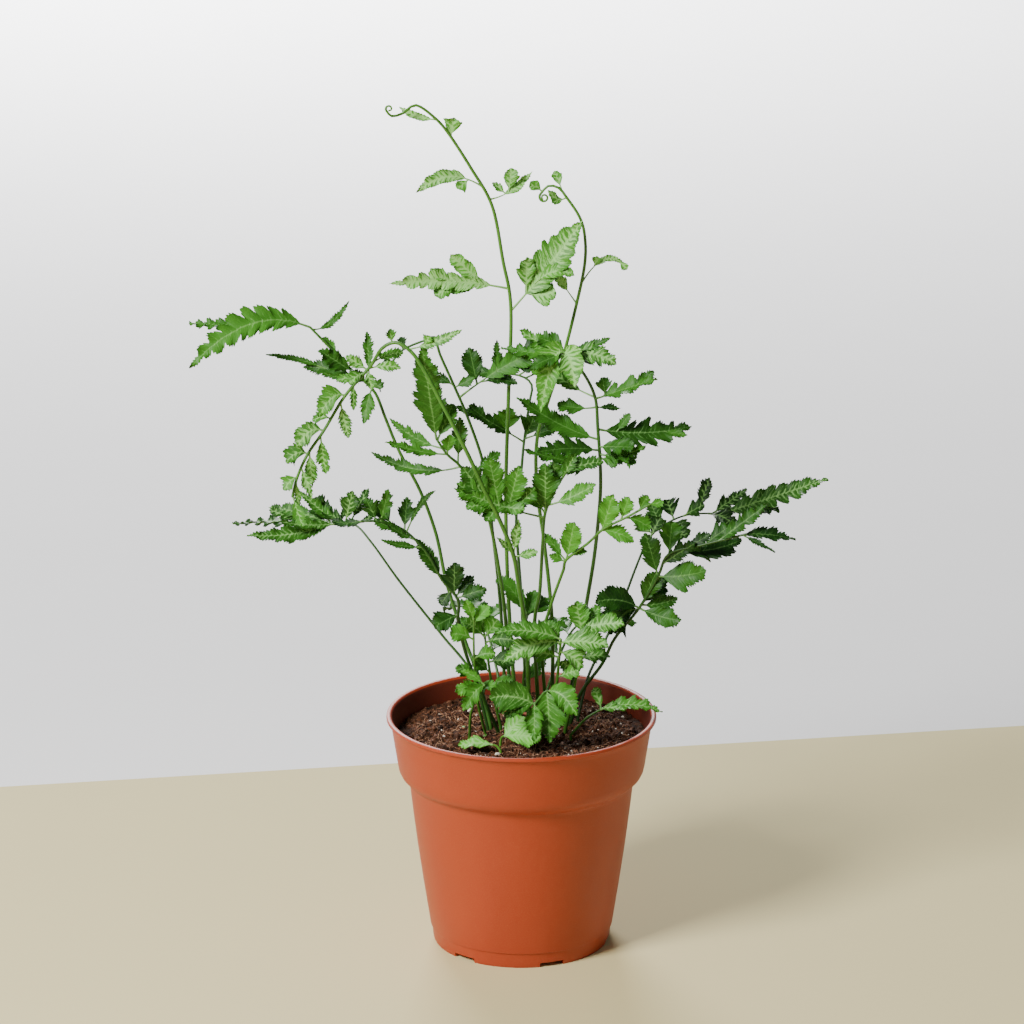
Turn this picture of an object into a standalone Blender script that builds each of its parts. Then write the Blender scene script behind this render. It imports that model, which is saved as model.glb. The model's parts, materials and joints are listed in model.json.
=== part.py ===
"""Potted brake fern: a plastic nursery pot, its soil, and one object for each frond.

Lengths are millimetres. The origin is the middle of the pot's foot, +Z is up, and -Y is the front.
"""

from dataclasses import dataclass
from math import cos, pi, radians, sin

import bmesh
import bpy
from mathutils import Matrix, Vector

MM = 0.001
TURN_STEPS = 30

# Pot: a turned wall with a deep rim band, over a foot ring with drain notches
POT_HEIGHT = 92.0
LIP_RADIUS = 52.3
WALL = 1.2
FOOT_RADIUS = 34.2
CENTRE_RADIUS = 14.0
FLOOR_UNDER_Z = 2.5
FLOOR_TOP_Z = 4.0
NOTCH_COUNT = 6
NOTCH_ANGLE = radians(-70)
NOTCH_WIDTH = 9.5
NOTCH_HEIGHT = 1.9
DRAIN_RING_RADIUS = 23.0
DRAIN_RADIUS = 4.0
INNER_HEIGHTS = (90.4, 80.0, 71.0, 66.0, 40.0)

# The pot's outside from the band's top down to the foot: (radius, height)
BAND_PROFILE = ((51.2, 90.4), (50.4, 88.0), (49.2, 80.0), (47.9, 71.5), (46.6, 68.4), (44.6, 66.8))
BODY_PROFILE = ((43.6, 65.6), (40.6, 40.0), (35.6, 6.2), (35.1, 5.8), (34.7, 0.8))

# Soil: fills the pot to just below the lip, in a low mound
CLEARANCE = 0.4
SOIL_LEVEL = 83.4
SOIL_MOUND = 2.2
SOIL_RINGS = 5
CRUMB = 0.5

# Stems stand in plain holes in the soil
ROOT_DEPTH = 12.0
HOLE_CLEARANCE = 0.3
HOLE_SIDES = 6
STEM_TIP_SHARE = 0.5

# Leaning along the line of sight gives the plant depth and keeps each stem's and blade's place in the photo
SIGHT = Vector((0, -1, 0.345))
BLADE_LEANS = (0.55, -0.45, 0.3, -0.6, 0.45, -0.3)

# Blades: a leaflet is a strip of rows across its rib, each row swept forward along the veins
BLADE_THICKNESS = 0.7
STALK_HALF_WIDTH = 0.55
SHORTEST_STALK = 0.09
SINK = 0.6
LOBE_LENGTH = 8.6
MOST_LOBES = 4
LOBE_PEAK = 0.62
PLAIN_PEAK = 0.42
VEIN_SWEEP = radians(32)
SHAPE_RISE = 0.55
SHAPE_FALL = 0.72


@dataclass(frozen=True)
class Leaf:
    """One blade. at is its place on the stem, counted in stem points, or for a leaflet its share of the rib."""

    at: float
    tip: tuple
    width: float
    bow: float = 0.0
    face: float = 38.0
    stalk: float = 0.14
    cut: float = 0.38
    side: tuple = ()


@dataclass(frozen=True)
class Frond:
    """A stem, as points from the soil to its end, and the blades on it.

    lean is how far its end bends towards the viewer, and spread is how far its blades point forward and back.
    """

    name: str
    radius: float
    lean: float
    spread: float
    stem: tuple
    leaves: tuple


FRONDS = (
    Frond(
        "frond_tall_left", 0.8, 8, 1.0,
        ((-2, 14, 86), (-5, 13, 134), (-6, 12, 175), (-5, 12, 214), (-4, 12, 250), (-7, 11, 269), (-11, 10, 290),
         (-19, 8, 305), (-27, 6, 318), (-32, 5, 324), (-39, 4, 329), (-44, 3, 326), (-48, 2, 325), (-50, 2, 327)),
        (
            Leaf(4.35, (-45, -1, 1), 8, bow=2, face=66, stalk=0.15, cut=0.45, side=(
                Leaf(0.22, (-12, -2, 12), 8, face=70, cut=0.2),
                Leaf(0.24, (-12, -3, -3), 5, face=62, cut=0.25),
                Leaf(0.44, (-8, -3, -5), 7, face=62, cut=0.2),
                Leaf(0.48, (-8, -1, 5), 6, face=72, cut=0.2))),
            Leaf(3.97, (27, -9, 38), 14, bow=-1, face=64, stalk=0.2, cut=0.2, side=(
                Leaf(0.22, (0, -1, 14), 9, bow=1, face=74, cut=0.25),
                Leaf(0.22, (11, -2, 1), 10.5, bow=-1, face=56, cut=0.2),
                Leaf(0.33, (15, -4, 4), 7, bow=3, face=56, cut=0.3))),
            Leaf(6.45, (-25, -2, -2), 6.5, bow=5, face=62, stalk=0.26, cut=0.2, side=(
                Leaf(0.22, (-4, -3, -3), 6, face=64, cut=0.15),)),
            Leaf(6.15, (16, 2, 11), 4.5, bow=-2, face=60, stalk=0.35, side=(
                Leaf(0.38, (-5, 1, 4), 3.5, face=60),
                Leaf(0.45, (1, 1, 9), 7, face=70, cut=0.25))),
            Leaf(7.9, (1, 0, 7), 8, face=80, cut=0.1),
            Leaf(8.9, (-14, 0, 5), 3.5, bow=-1, face=70, cut=0.15),
        ),
    ),
    Frond(
        "frond_tall_right", 0.8, -10, 1.0,
        ((12, 16, 85), (12, 18, 122), (9, 19, 154), (6, 19, 177), (6, 18, 197), (10, 17, 212), (16, 16, 231),
         (21, 14, 252), (24, 12, 268), (24, 11, 279), (22, 9, 287), (17, 8, 295), (14, 7, 299), (10, 6, 300), (7, 5, 297)),
        (
            Leaf(7.0, (-8, 1, 11), 5, face=60, stalk=0.45, cut=0.2),
            Leaf(7.45, (17, -2, 8), 3.5, bow=6, face=60, stalk=0.3, side=(
                Leaf(0.3, (1, -1, 4), 3.5, face=70, cut=0.1),
                Leaf(0.85, (3, -1, -3), 3.5, face=70, cut=0.1))),
            Leaf(11.0, (-7, -2, 3), 4.5, bow=-2, face=60, stalk=0.2, cut=0.15),
            Leaf(11.6, (-3, 2, 7), 4.5, bow=1, face=60, stalk=0.2, cut=0.15),
            Leaf(13.7, (-5, -1, 2), 4.5, bow=1, face=60, cut=0.2),
        ),
    ),
    Frond(
        "frond_left_high", 0.8, -16, 1.0,
        ((-12, 2, 86), (-17, 6, 106), (-22, 9, 119), (-29, 13, 141), (-33, 15, 160), (-39, 16, 177), (-47, 16, 193),
         (-52, 15, 206), (-56, 14, 217), (-61, 13, 223), (-67, 12, 229), (-73, 11, 236), (-81, 10, 245)),
        (
            Leaf(12.0, (-45, -3, -17), 14, bow=9, face=50, stalk=0.08, cut=0.5, side=(
                Leaf(0.4, (-28, 4, -1.5), 8, bow=-1, face=30, cut=0.3),)),
            Leaf(11.9, (14, 3, 11), 4.5, bow=-3, face=60, stalk=0.2, cut=0.5),
            Leaf(9.4, (-14, -3, 10), 9, face=66, stalk=0.2, cut=0.15),
            Leaf(9.2, (-22, -2, 5), 9, bow=1, face=60, stalk=0.2, cut=0.3, side=(
                Leaf(0.6, (-23, 2, 5), 3.5, bow=1, face=50, cut=0.5),)),
            Leaf(9.0, (-16, 3, 2), 3.5, bow=-1, face=60),
            Leaf(8.5, (-1, 3, 21), 5.5, bow=1, face=60, stalk=0.3, cut=0.45),
            Leaf(8.3, (-3, -5, -13), 7, bow=2, face=72, stalk=0.2, cut=0.2),
            Leaf(8.3, (4, -3, 1), 6, bow=1, face=70, cut=0.1),
            Leaf(8.7, (-6, -3, 6), 6, face=66, cut=0.3),
            Leaf(10.6, (-6, 2, 7), 4, bow=1, face=50, cut=0.4),
        ),
    ),
    Frond(
        "frond_arch", 0.9, 12, 0.8,
        ((3, -6, 86), (2, -12, 126), (-1, -17, 149), (-3, -20, 162), (-8, -22, 176), (-14, -24, 189), (-20, -25, 203),
         (-29, -24, 221), (-37, -22, 236), (-42, -20, 242), (-47, -18, 244), (-52, -16, 241), (-56, -14, 234),
         (-61, -13, 228), (-67, -12, 220), (-74, -12, 208), (-80, -12, 199), (-84, -12, 190), (-86, -12, 182)),
        (
            Leaf(3.0, (2, 0, 14), 5.5, face=66, stalk=0.2, cut=0.2),
            Leaf(2.95, (9, -2, 3), 5, face=60, stalk=0.2, cut=0.2),
            Leaf(3.05, (-6, -2, 7), 3, face=60, cut=0.2),
            Leaf(9.0, (20, -12, 11), 5, bow=-1, face=60, stalk=0.2, cut=0.15, side=(
                Leaf(0.3, (2, -1, 4), 5, face=70, cut=0.1),)),
            Leaf(10.2, (-1, 0, 5), 5, face=70, cut=0.15),
            Leaf(11.8, (11, 3, 3), 5.5, bow=1, face=60, stalk=0.2, cut=0.2),
            Leaf(12.2, (12, 3, -1), 5, bow=1, face=60, stalk=0.2, cut=0.2),
            Leaf(12.3, (-8, -2, 6), 6, face=60, cut=0.2),
            Leaf(12.6, (-5, -4, -3), 6, bow=1, face=66, cut=0.2),
            Leaf(12.4, (2, -3, -6), 5.5, bow=1, face=66, cut=0.2),
            Leaf(13.8, (-10, -2, -8), 10, bow=3, face=66, stalk=0.1, cut=0.2),
            Leaf(14.1, (3, -2, -13), 6, face=66, cut=0.25),
            Leaf(15.0, (-10, -2, -6), 9.5, bow=3, face=66, stalk=0.1, cut=0.2),
            Leaf(15.2, (2, -2, -14), 6, face=66, cut=0.3),
            Leaf(16.0, (-8, -2, -3), 9.5, bow=2, face=66, stalk=0.1, cut=0.2),
            Leaf(15.9, (1, -1, -13), 7, face=66, cut=0.25),
            Leaf(17.0, (-5, -1, -5), 7, bow=1, face=66, cut=0.2),
            Leaf(17.2, (1, -1, -11), 3.5, face=66, cut=0.2),
            Leaf(17.9, (4, -1, -12), 5, bow=-1, face=66, cut=0.2),
            Leaf(13.3, (0, -2, -9), 4, bow=1, face=66, cut=0.3),
            Leaf(16.6, (4, -2, -12), 5, bow=1, face=66, cut=0.3),
            Leaf(14.6, (-7, 1, -1), 5, bow=1, face=60, cut=0.3),
            Leaf(13.0, (-8, 1, -1), 5, bow=1, face=60, cut=0.3),
        ),
    ),
    Frond(
        "frond_kinked", 0.7, -8, 0.4,
        ((-6, 12, 86), (-8, 12, 130), (-11, 11, 161), (-14, 10, 187), (-20, 9, 207), (-26, 8, 222), (-31, 7, 234),
         (-33, 6, 241), (-37, 5, 240), (-45, 3, 237), (-50, 0, 232)),
        (
            Leaf(4.6, (34, -1, 20), 11, bow=2, face=58, stalk=0.3, cut=0.4, side=(
                Leaf(0.2, (-3, 2, 14), 11, face=60, stalk=0.1, cut=0.2),
                Leaf(0.24, (14, -3, 0), 6, bow=1, face=34, cut=0.4),
                Leaf(0.42, (0, 1, 12), 4, face=50, cut=0.4),
                Leaf(0.5, (15, -3, 0), 7.5, bow=1, face=34, cut=0.4),
                Leaf(0.66, (9, 2, 6), 9, face=40, cut=0.3))),
            Leaf(4.95, (-8, 1, 5), 5.5, face=56, cut=0.3),
            Leaf(4.9, (8, -1, 4), 5.5, face=56, cut=0.3),
            Leaf(9.0, (-1, 0, 5), 5, face=60, cut=0.2),
            Leaf(9.8, (-5, -2, 3), 5, face=50, cut=0.3),
        ),
    ),
    Frond(
        "frond_centre_left", 0.8, 8, 0.9,
        ((-4, 5, 87), (-6, 2, 128), (-9, -1, 153), (-13, -4, 174), (-18, -6, 184), (-23, -7, 193), (-28, -8, 198), (-32, -8, 204)),
        (
            Leaf(7.0, (-5, -1, 36), 12.5, bow=0, face=66, stalk=0.05, cut=0.2),
            Leaf(6.4, (-20, 0, 12), 6, bow=-2, face=58, stalk=0.2, cut=0.5),
            Leaf(6.0, (-23, -2, 5), 6, bow=-1, face=50, stalk=0.15, cut=0.45),
            Leaf(5.0, (-34, -2, 7), 6.5, bow=-4, face=50, stalk=0.2, cut=0.5),
            Leaf(6.0, (1, -2, 8), 7.5, face=66, cut=0.2),
            Leaf(6.9, (6, 1, 14), 9.5, face=66, cut=0.25),
            Leaf(5.2, (1, 3, 17), 8, face=66, stalk=0.2, cut=0.2),
            Leaf(4.2, (11, 2, 12), 6, bow=2, face=50, stalk=0.25, cut=0.35),
        ),
    ),
    Frond(
        "frond_centre", 0.65, -12, 1.0,
        ((2, 19, 85), (0, 24, 131), (-2, 27, 162), (0, 29, 182), (1, 30, 193), (3, 31, 208), (4, 31, 216), (-1, 31, 220), (-10, 30, 221)),
        (
            Leaf(4.0, (-27, 2, 13), 7, bow=1, face=48, stalk=0.18, cut=0.45, side=(
                Leaf(0.26, (1, -3, 10), 11, face=66, stalk=0.05, cut=0.25),
                Leaf(0.5, (-8, -2, 7), 6, face=56, cut=0.3))),
            Leaf(4.1, (4, -2, 10), 11, face=60, stalk=0.15, cut=0.3),
            Leaf(4.1, (14, -1, 5), 7.5, face=46, stalk=0.25, cut=0.35),
            Leaf(6.6, (17, 1, 6), 7.5, bow=1, face=34, cut=0.4),
            Leaf(7.0, (12, -2, 2), 6, bow=2, face=30, cut=0.4),
            Leaf(7.9, (-12, -1, -1), 6, bow=1, face=38, stalk=0.1, cut=0.4),
            Leaf(7.6, (-4, 1, 8), 7, face=56, cut=0.3),
        ),
    ),
    Frond(
        "frond_right_high", 0.85, 2, 1.0,
        ((17, 12, 86), (22, 9, 113), (25, 6, 134), (28, 3, 155), (30, 1, 178), (30, 0, 192), (29, 0, 206), (28, 0, 218),
         (24, 0, 227), (19, 0, 233), (16, 0, 236)),
        (
            Leaf(7.0, (23, -1, 7), 9, bow=0, face=46, stalk=0.12, cut=0.5, side=(
                Leaf(0.16, (-1, 0, 7), 6.5, face=56, cut=0.2),
                Leaf(0.6, (8, 1, 6), 6.5, face=50, cut=0.35))),
            Leaf(7.05, (-19, 2, 12), 7, bow=-1, face=46, stalk=0.3, cut=0.2),
            Leaf(9.4, (18, -2, -3), 10.5, bow=2.5, face=44, stalk=0.1, cut=0.25),
            Leaf(9.9, (-9, -7, -21), 12.5, bow=8, face=74, stalk=0.04, cut=0.2),
            Leaf(9.9, (4, -7, -12), 11.5, bow=4, face=70, stalk=0.04, cut=0.2),
            Leaf(9.0, (9, 4, -1), 8.5, face=30, cut=0.3),
            Leaf(9.9, (17, 8, 3), 5.5, bow=-1, face=34, cut=0.5),
            Leaf(9.9, (-17, 1, 9), 8, bow=-1, face=52, stalk=0.06, cut=0.35),
            Leaf(9.9, (-10, 6, 4), 9.5, bow=1, face=40, stalk=0.05, cut=0.3),
            Leaf(6.0, (36, -3, 3), 14.5, bow=-2, face=50, stalk=0.08, cut=0.5, side=(
                Leaf(0.2, (5, 1, 7), 5, face=56, cut=0.3),
                Leaf(0.7, (9, -2, -1), 5, face=40, cut=0.3))),
            Leaf(5.3, (17, -4, 4), 8.5, bow=-2, face=50, stalk=0.1, cut=0.45, side=(
                Leaf(0.5, (5, -2, -3), 6.5, face=50, cut=0.3),)),
            Leaf(5.7, (-31, -7, 19), 11, bow=-2, face=54, stalk=0.1, cut=0.3),
            Leaf(5.4, (-24, -9, 1), 10, bow=1, face=46, stalk=0.1, cut=0.45),
            Leaf(5.1, (-24, -5, -1), 9, bow=-1, face=46, stalk=0.1, cut=0.45),
            Leaf(6.7, (-15, 4, 0), 9, bow=-1, face=46, stalk=0.3, cut=0.4),
            Leaf(6.7, (9, -1, 0), 3.5, face=46, cut=0.4),
            Leaf(5.0, (-29, -3, 6), 9, bow=-1, face=46, stalk=0.1, cut=0.5),
            Leaf(5.2, (9, -4, 1), 8.5, bow=-1, face=50, stalk=0.1, cut=0.4),
            Leaf(5.5, (13, -6, 1), 10, face=50, stalk=0.08, cut=0.4),
            Leaf(9.9, (-24, 3, 2), 7, bow=-1, face=50, stalk=0.06, cut=0.45),
            Leaf(9.6, (-14, -3, -5), 8, bow=1, face=54, stalk=0.1, cut=0.4),
        ),
    ),
    Frond(
        "frond_centre_front", 0.8, -2, 0.5,
        ((7, -3, 87), (5, -8, 129), (7, -11, 145), (8, -13, 164), (9, -14, 177), (13, -15, 187), (17, -16, 194)),
        (
            Leaf(4.0, (0, -1, 20), 12, face=66, stalk=0.08, cut=0.25),
            Leaf(4.0, (-7, 1, 10), 8, face=62, stalk=0.15, cut=0.2),
            Leaf(4.3, (18, -3, 9), 9, bow=-1, face=56, stalk=0.22, cut=0.25),
            Leaf(6.0, (14, -1, 4), 7, bow=1, face=50, stalk=0.05, cut=0.4),
            Leaf(5.6, (5, 2, 9), 6, face=56, cut=0.35),
            Leaf(5.0, (-1, -1, 11), 7, face=60, cut=0.35),
            Leaf(3.85, (-34, -3, 12), 8, bow=-1, face=52, stalk=0.22, cut=0.3, side=(
                Leaf(0.4, (4, -1, 17), 10.5, face=72, stalk=0.04, cut=0.2),
                Leaf(0.5, (-4, 0, 19), 11, face=72, stalk=0.04, cut=0.2),
                Leaf(0.62, (-10, 0, 14), 11, face=70, stalk=0.04, cut=0.2),
                Leaf(0.6, (-9, -4, -1), 9, face=58, stalk=0.04, cut=0.2),
                Leaf(0.34, (8, -1, 9), 8, face=66, stalk=0.04, cut=0.2),
                Leaf(0.68, (-10, -2, 7), 9.5, face=66, stalk=0.04, cut=0.2),
                Leaf(0.45, (8, -4, 0), 7, face=58, stalk=0.04, cut=0.25),
                Leaf(0.5, (-5, -5, -5), 8, face=60, stalk=0.04, cut=0.2))),
        ),
    ),
    Frond(
        "frond_light_right", 0.7, 8, 0.8,
        ((10, 2, 87), (8, -6, 122), (11, -12, 139), (16, -18, 156), (17, -19, 160), (25, -21, 167), (31, -22, 173), (40, -23, 178), (48, -24, 183)),
        (
            Leaf(4.0, (3, -1, 15), 10, face=66, stalk=0.12, cut=0.15),
            Leaf(3.9, (-8, 0, 11), 5, face=62, stalk=0.2, cut=0.2),
            Leaf(3.8, (-6, -1, 3), 4.5, face=60, cut=0.2),
            Leaf(4.15, (7, -2, 3), 4, bow=1, face=60, cut=0.15),
            Leaf(5.9, (4, 0, 14), 10, face=66, stalk=0.06, cut=0.12),
            Leaf(5.9, (12, -2, -4), 7, bow=1, face=62, stalk=0.06, cut=0.12),
            Leaf(6.7, (3, 0, 9), 7, face=66, cut=0.1),
            Leaf(6.9, (9, -1, -4), 7, bow=1, face=62, cut=0.12),
            Leaf(7.5, (3, 0, 6), 5, face=66, cut=0.1),
            Leaf(8.0, (5, 0, 1), 5, face=66, stalk=0.05, cut=0.1),
        ),
    ),
    Frond(
        "frond_right_far", 0.6, -16, 1.0,
        ((22, 9, 87), (26, 14, 102), (31, 18, 112), (39, 24, 128), (45, 28, 143), (49, 30, 152), (54, 31, 158), (65, 33, 163), (80, 36, 163)),
        (
            Leaf(8.0, (40, 7, 11), 13.5, bow=0, face=40, stalk=0.04, cut=0.5, side=(
                Leaf(0.12, (17, -3, 0), 8.5, bow=1, face=40, cut=0.45),
                Leaf(0.3, (7, 2, 6), 4, face=50, cut=0.3))),
            Leaf(7.3, (5, 0, 15), 7, face=60, stalk=0.25, cut=0.3),
            Leaf(7.6, (10, -6, -3), 9, bow=1, face=36, cut=0.4),
            Leaf(6.6, (-3, 1, 8), 10, face=56, cut=0.35),
            Leaf(6.2, (9, -5, -4), 10.5, bow=1, face=46, cut=0.35),
            Leaf(5.6, (-6, 1, 5), 9, face=50, cut=0.35),
            Leaf(5.4, (4, 6, 6), 10, face=34, cut=0.4),
            Leaf(7.7, (14, 4, 9), 8, face=50, stalk=0.1, cut=0.5),
            Leaf(6.9, (8, -2, 5), 8.5, face=50, cut=0.4),
            Leaf(6.1, (-4, 3, 9), 8, face=56, cut=0.4),
        ),
    ),
    Frond(
        "frond_right_low", 0.75, 14, 0.9,
        ((19, 3, 87), (23, 1, 100), (31, 0, 112), (36, -1, 123), (45, -4, 136), (52, -5, 149), (56, -6, 158), (68, -8, 162), (85, -10, 167)),
        (
            Leaf(4.0, (-17, -3, 3), 13, bow=2, face=50, stalk=0.08, cut=0.2),
            Leaf(3.95, (-11, -6, -8), 15, bow=3, face=62, stalk=0.06, cut=0.2),
            Leaf(4.0, (16, -3, -4), 9.5, bow=-1, face=62, stalk=0.12, cut=0.2),
            Leaf(4.1, (14, 0, 3), 8, bow=-1, face=62, stalk=0.12, cut=0.2),
            Leaf(4.2, (5, 1, 12), 9, face=66, stalk=0.05, cut=0.2),
            Leaf(5.0, (-5, 1, 17), 10, face=66, stalk=0.12, cut=0.25),
            Leaf(5.0, (18, -3, 3), 13, bow=-1, face=60, stalk=0.1, cut=0.2),
            Leaf(6.1, (15, -2, -3), 4.5, bow=3, face=50, cut=0.35),
            Leaf(6.0, (1, 6, 11), 11, face=56, stalk=0.1, cut=0.3),
            Leaf(6.4, (24, 1, 4), 12, bow=-2, face=40, stalk=0.05, cut=0.5),
            Leaf(7.1, (9, 6, 5), 9, face=34, cut=0.4),
            Leaf(7.9, (20, -3, -1), 7, bow=1, face=46, stalk=0.05, cut=0.3),
            Leaf(7.4, (18, 4, 13), 8, face=44, stalk=0.05, cut=0.5),
            Leaf(4.15, (10, 2, 10), 8.5, face=62, stalk=0.08, cut=0.25),
            Leaf(7.9, (12, -3, -6), 3, face=50, cut=0.3),
            Leaf(6.6, (9, -4, 7), 8, face=56, cut=0.4),
            Leaf(5.5, (12, -3, 9), 8.5, face=60, stalk=0.08, cut=0.4),
        ),
    ),
    Frond(
        "frond_left_far", 0.6, -14, 1.0,
        ((-13, -3, 87), (-19, 0, 108), (-31, 4, 123), (-47, 8, 143), (-58, 11, 158), (-65, 13, 165), (-74, 14, 165)),
        (
            Leaf(6.0, (-32, 0, -5), 9, bow=-2, face=50, stalk=0.04, cut=0.3),
            Leaf(5.8, (-42, 9, -2), 9, bow=1, face=30, stalk=0.04, cut=0.5, side=(
                Leaf(0.3, (-14, 3, 4), 6.5, face=40, cut=0.4),)),
            Leaf(6.0, (-7, 5, 9), 10.5, face=56, stalk=0.15, cut=0.4),
            Leaf(5.7, (4, 5, 10), 3, bow=-1, face=50, cut=0.3),
            Leaf(5.4, (3, 3, 12), 9, face=56, stalk=0.15, cut=0.4),
            Leaf(5.0, (15, 4, 11), 3.5, bow=-2, face=50, cut=0.4),
            Leaf(5.4, (-9, 9, 2), 8.5, face=30, cut=0.4),
            Leaf(6.0, (-25, 4, 6), 8, bow=1, face=46, cut=0.5),
            Leaf(5.6, (-16, 6, 11), 6.5, bow=-1, face=50, cut=0.5),
            Leaf(5.2, (7, 5, 13), 7, face=56, stalk=0.2, cut=0.5),
            Leaf(5.9, (-21, -4, 2), 6, bow=-1, face=56, stalk=0.05, cut=0.4),
        ),
    ),
    Frond(
        "frond_left_low", 0.75, 10, 0.9,
        ((-9, -7, 87), (-16, -12, 106), (-21, -16, 121), (-24, -18, 135), (-24, -19, 144), (-30, -19, 152), (-36, -19, 163),
         (-44, -18, 171), (-52, -17, 174), (-60, -16, 174)),
        (
            Leaf(4.3, (0, 1, 12), 10.5, face=66, stalk=0.06, cut=0.25),
            Leaf(4.2, (7, 0, 8), 7, face=60, stalk=0.1, cut=0.25),
            Leaf(4.1, (11, -1, 4), 8, face=56, stalk=0.15, cut=0.25),
            Leaf(4.5, (-4, -2, -5), 7, face=62, cut=0.2),
            Leaf(3.3, (-9, -3, -4), 10, face=62, stalk=0.08, cut=0.2),
            Leaf(5.1, (-9, -2, 16), 7.5, face=60, stalk=0.05, cut=0.25),
            Leaf(6.2, (-15, -1, 3), 4, bow=-1, face=56, cut=0.4),
            Leaf(7.0, (1, 1, 13), 7, face=60, stalk=0.15, cut=0.4),
            Leaf(6.9, (11, 0, 16), 3, bow=3, face=60, cut=0.4),
            Leaf(7.6, (-6, 3, 7), 10, face=44, cut=0.4),
            Leaf(8.3, (-4, 3, 8), 8, face=50, cut=0.4),
            Leaf(9.0, (-12, 1, 0), 5, bow=-1, face=44, stalk=0.03, cut=0.4),
            Leaf(8.1, (3, 2, 12), 6.5, face=54, cut=0.5),
            Leaf(7.3, (-9, -3, 4), 6, bow=-1, face=56, cut=0.4),
            Leaf(6.5, (-13, -2, 9), 4.5, bow=-1, face=56, cut=0.5),
        ),
    ),
    Frond(
        "frond_low_young", 0.6, 4, 0.5,
        ((-14, -8, 87), (-17, -16, 104), (-18, -21, 123), (-18, -24, 138)),
        (
            Leaf(3.0, (-3, -1, 8), 6, face=66, stalk=0.08, cut=0.06),
            Leaf(2.9, (6, -1, 7), 6, face=60, stalk=0.08, cut=0.06),
            Leaf(2.4, (-9, -3, 3), 9, bow=1, face=62, cut=0.2),
            Leaf(1.9, (8, -4, 3), 8, bow=1, face=50, cut=0.2),
            Leaf(1.2, (8, -5, 2), 7, bow=1, face=44, cut=0.25),
            Leaf(1.5, (-7, -3, 5), 7, face=60, cut=0.3),
        ),
    ),
    Frond(
        "frond_low_left", 0.65, 2, 0.5,
        ((-8, -1, 87), (-11, -5, 103), (-13, -8, 118), (-14, -9, 126)),
        (
            Leaf(3.0, (-8, -1, 6), 9, bow=1, face=50, cut=0.25),
            Leaf(3.0, (5, -2, 8), 9.5, face=60, cut=0.25),
            Leaf(2.7, (11, -4, 2), 10, bow=1, face=50, cut=0.25),
            Leaf(1.8, (10, -6, 1), 9.5, bow=1, face=48, cut=0.25),
            Leaf(1.2, (8, -6, 1), 8, bow=1, face=46, cut=0.25),
            Leaf(2.9, (-2, 2, 13), 8, face=60, cut=0.35),
            Leaf(1.5, (-7, -2, 7), 7, face=56, cut=0.35),
            Leaf(0.8, (7, -3, 6), 6, face=56, cut=0.3),
        ),
    ),
    Frond(
        "frond_low_back", 0.65, -2, 0.3,
        ((0, 10, 87), (1, 9, 105), (2, 6, 120), (2, 5, 131)),
        (
            Leaf(3.0, (-12, 4, 12), 9, bow=3, face=50, stalk=0.06, cut=0.3),
            Leaf(2.9, (8, 8, 5), 9.5, face=40, cut=0.35),
            Leaf(2.8, (3, 8, 9), 9.5, face=46, cut=0.35),
            Leaf(2.0, (16, 5, 4), 9, bow=2, face=40, cut=0.35),
            Leaf(1.6, (9, 11, 3), 9, bow=2, face=36, cut=0.35),
            Leaf(0.8, (9, 4, 8), 6.5, face=50, cut=0.35),
        ),
    ),
    Frond(
        "frond_back_right", 0.65, -6, 0.3,
        ((8, 22, 87), (13, 30, 100), (19, 37, 112), (26, 42, 118)),
        (
            Leaf(3.0, (20, 7, -5), 10.5, bow=1, face=14, stalk=0.05, cut=0.4),
            Leaf(2.7, (5, 14, 1), 10, face=4, cut=0.35),
            Leaf(2.6, (13, -7, 1), 8.5, face=30, cut=0.35),
            Leaf(2.0, (-6, 14, 3), 10, face=0, cut=0.35),
            Leaf(1.4, (-7, 11, 1), 9, face=0, cut=0.3),
        ),
    ),
    Frond(
        "frond_back_left", 0.65, -6, 0.3,
        ((-7, 19, 87), (-10, 28, 102), (-14, 35, 115), (-20, 39, 123)),
        (
            Leaf(3.0, (-11, 7, -4), 10, bow=1, face=14, stalk=0.05, cut=0.4),
            Leaf(2.7, (0, 15, 2), 10, face=4, cut=0.35),
            Leaf(2.2, (8, 13, 4), 10, face=0, cut=0.35),
            Leaf(2.0, (-12, 3, 2), 8.5, face=20, cut=0.35),
            Leaf(1.4, (5, 12, 1), 9, face=0, cut=0.3),
        ),
    ),
    Frond(
        "frond_low_front", 0.75, 5, 0.7,
        ((13, -8, 87), (13, -12, 100), (14, -16, 115), (15, -18, 128)),
        (
            Leaf(3.0, (-25, 1, 2), 10, bow=2, face=50, stalk=0.05, cut=0.25),
            Leaf(2.9, (-22, -4, -7), 11.5, bow=3, face=58, stalk=0.05, cut=0.25),
            Leaf(2.9, (18, -2, -1), 11.5, bow=1, face=46, stalk=0.05, cut=0.25),
            Leaf(2.6, (9, -4, -5), 9, bow=1, face=50, stalk=0.1, cut=0.25),
            Leaf(2.8, (-6, 5, 8), 9.5, face=46, stalk=0.1, cut=0.3),
            Leaf(2.4, (-14, -3, 3), 8, bow=1, face=56, stalk=0.1, cut=0.3),
            Leaf(1.8, (9, -2, 4), 7, face=56, cut=0.3),
        ),
    ),
    Frond(
        "frond_low_right", 0.75, 5, 0.7,
        ((17, -4, 87), (20, -6, 103), (22, -8, 118), (23, -9, 129)),
        (
            Leaf(3.0, (16, -3, 3), 10, bow=1, face=54, stalk=0.05, cut=0.3),
            Leaf(2.9, (9, -4, -5), 7.5, bow=1, face=56, cut=0.25),
            Leaf(2.9, (-2, 1, 12), 10, face=66, stalk=0.05, cut=0.25),
            Leaf(3.0, (7, 2, 9), 8, face=56, cut=0.3),
            Leaf(1.9, (12, -1, 1), 9, bow=1, face=44, cut=0.3),
            Leaf(2.6, (7, 5, 7), 8, face=60, stalk=0.08, cut=0.3),
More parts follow.
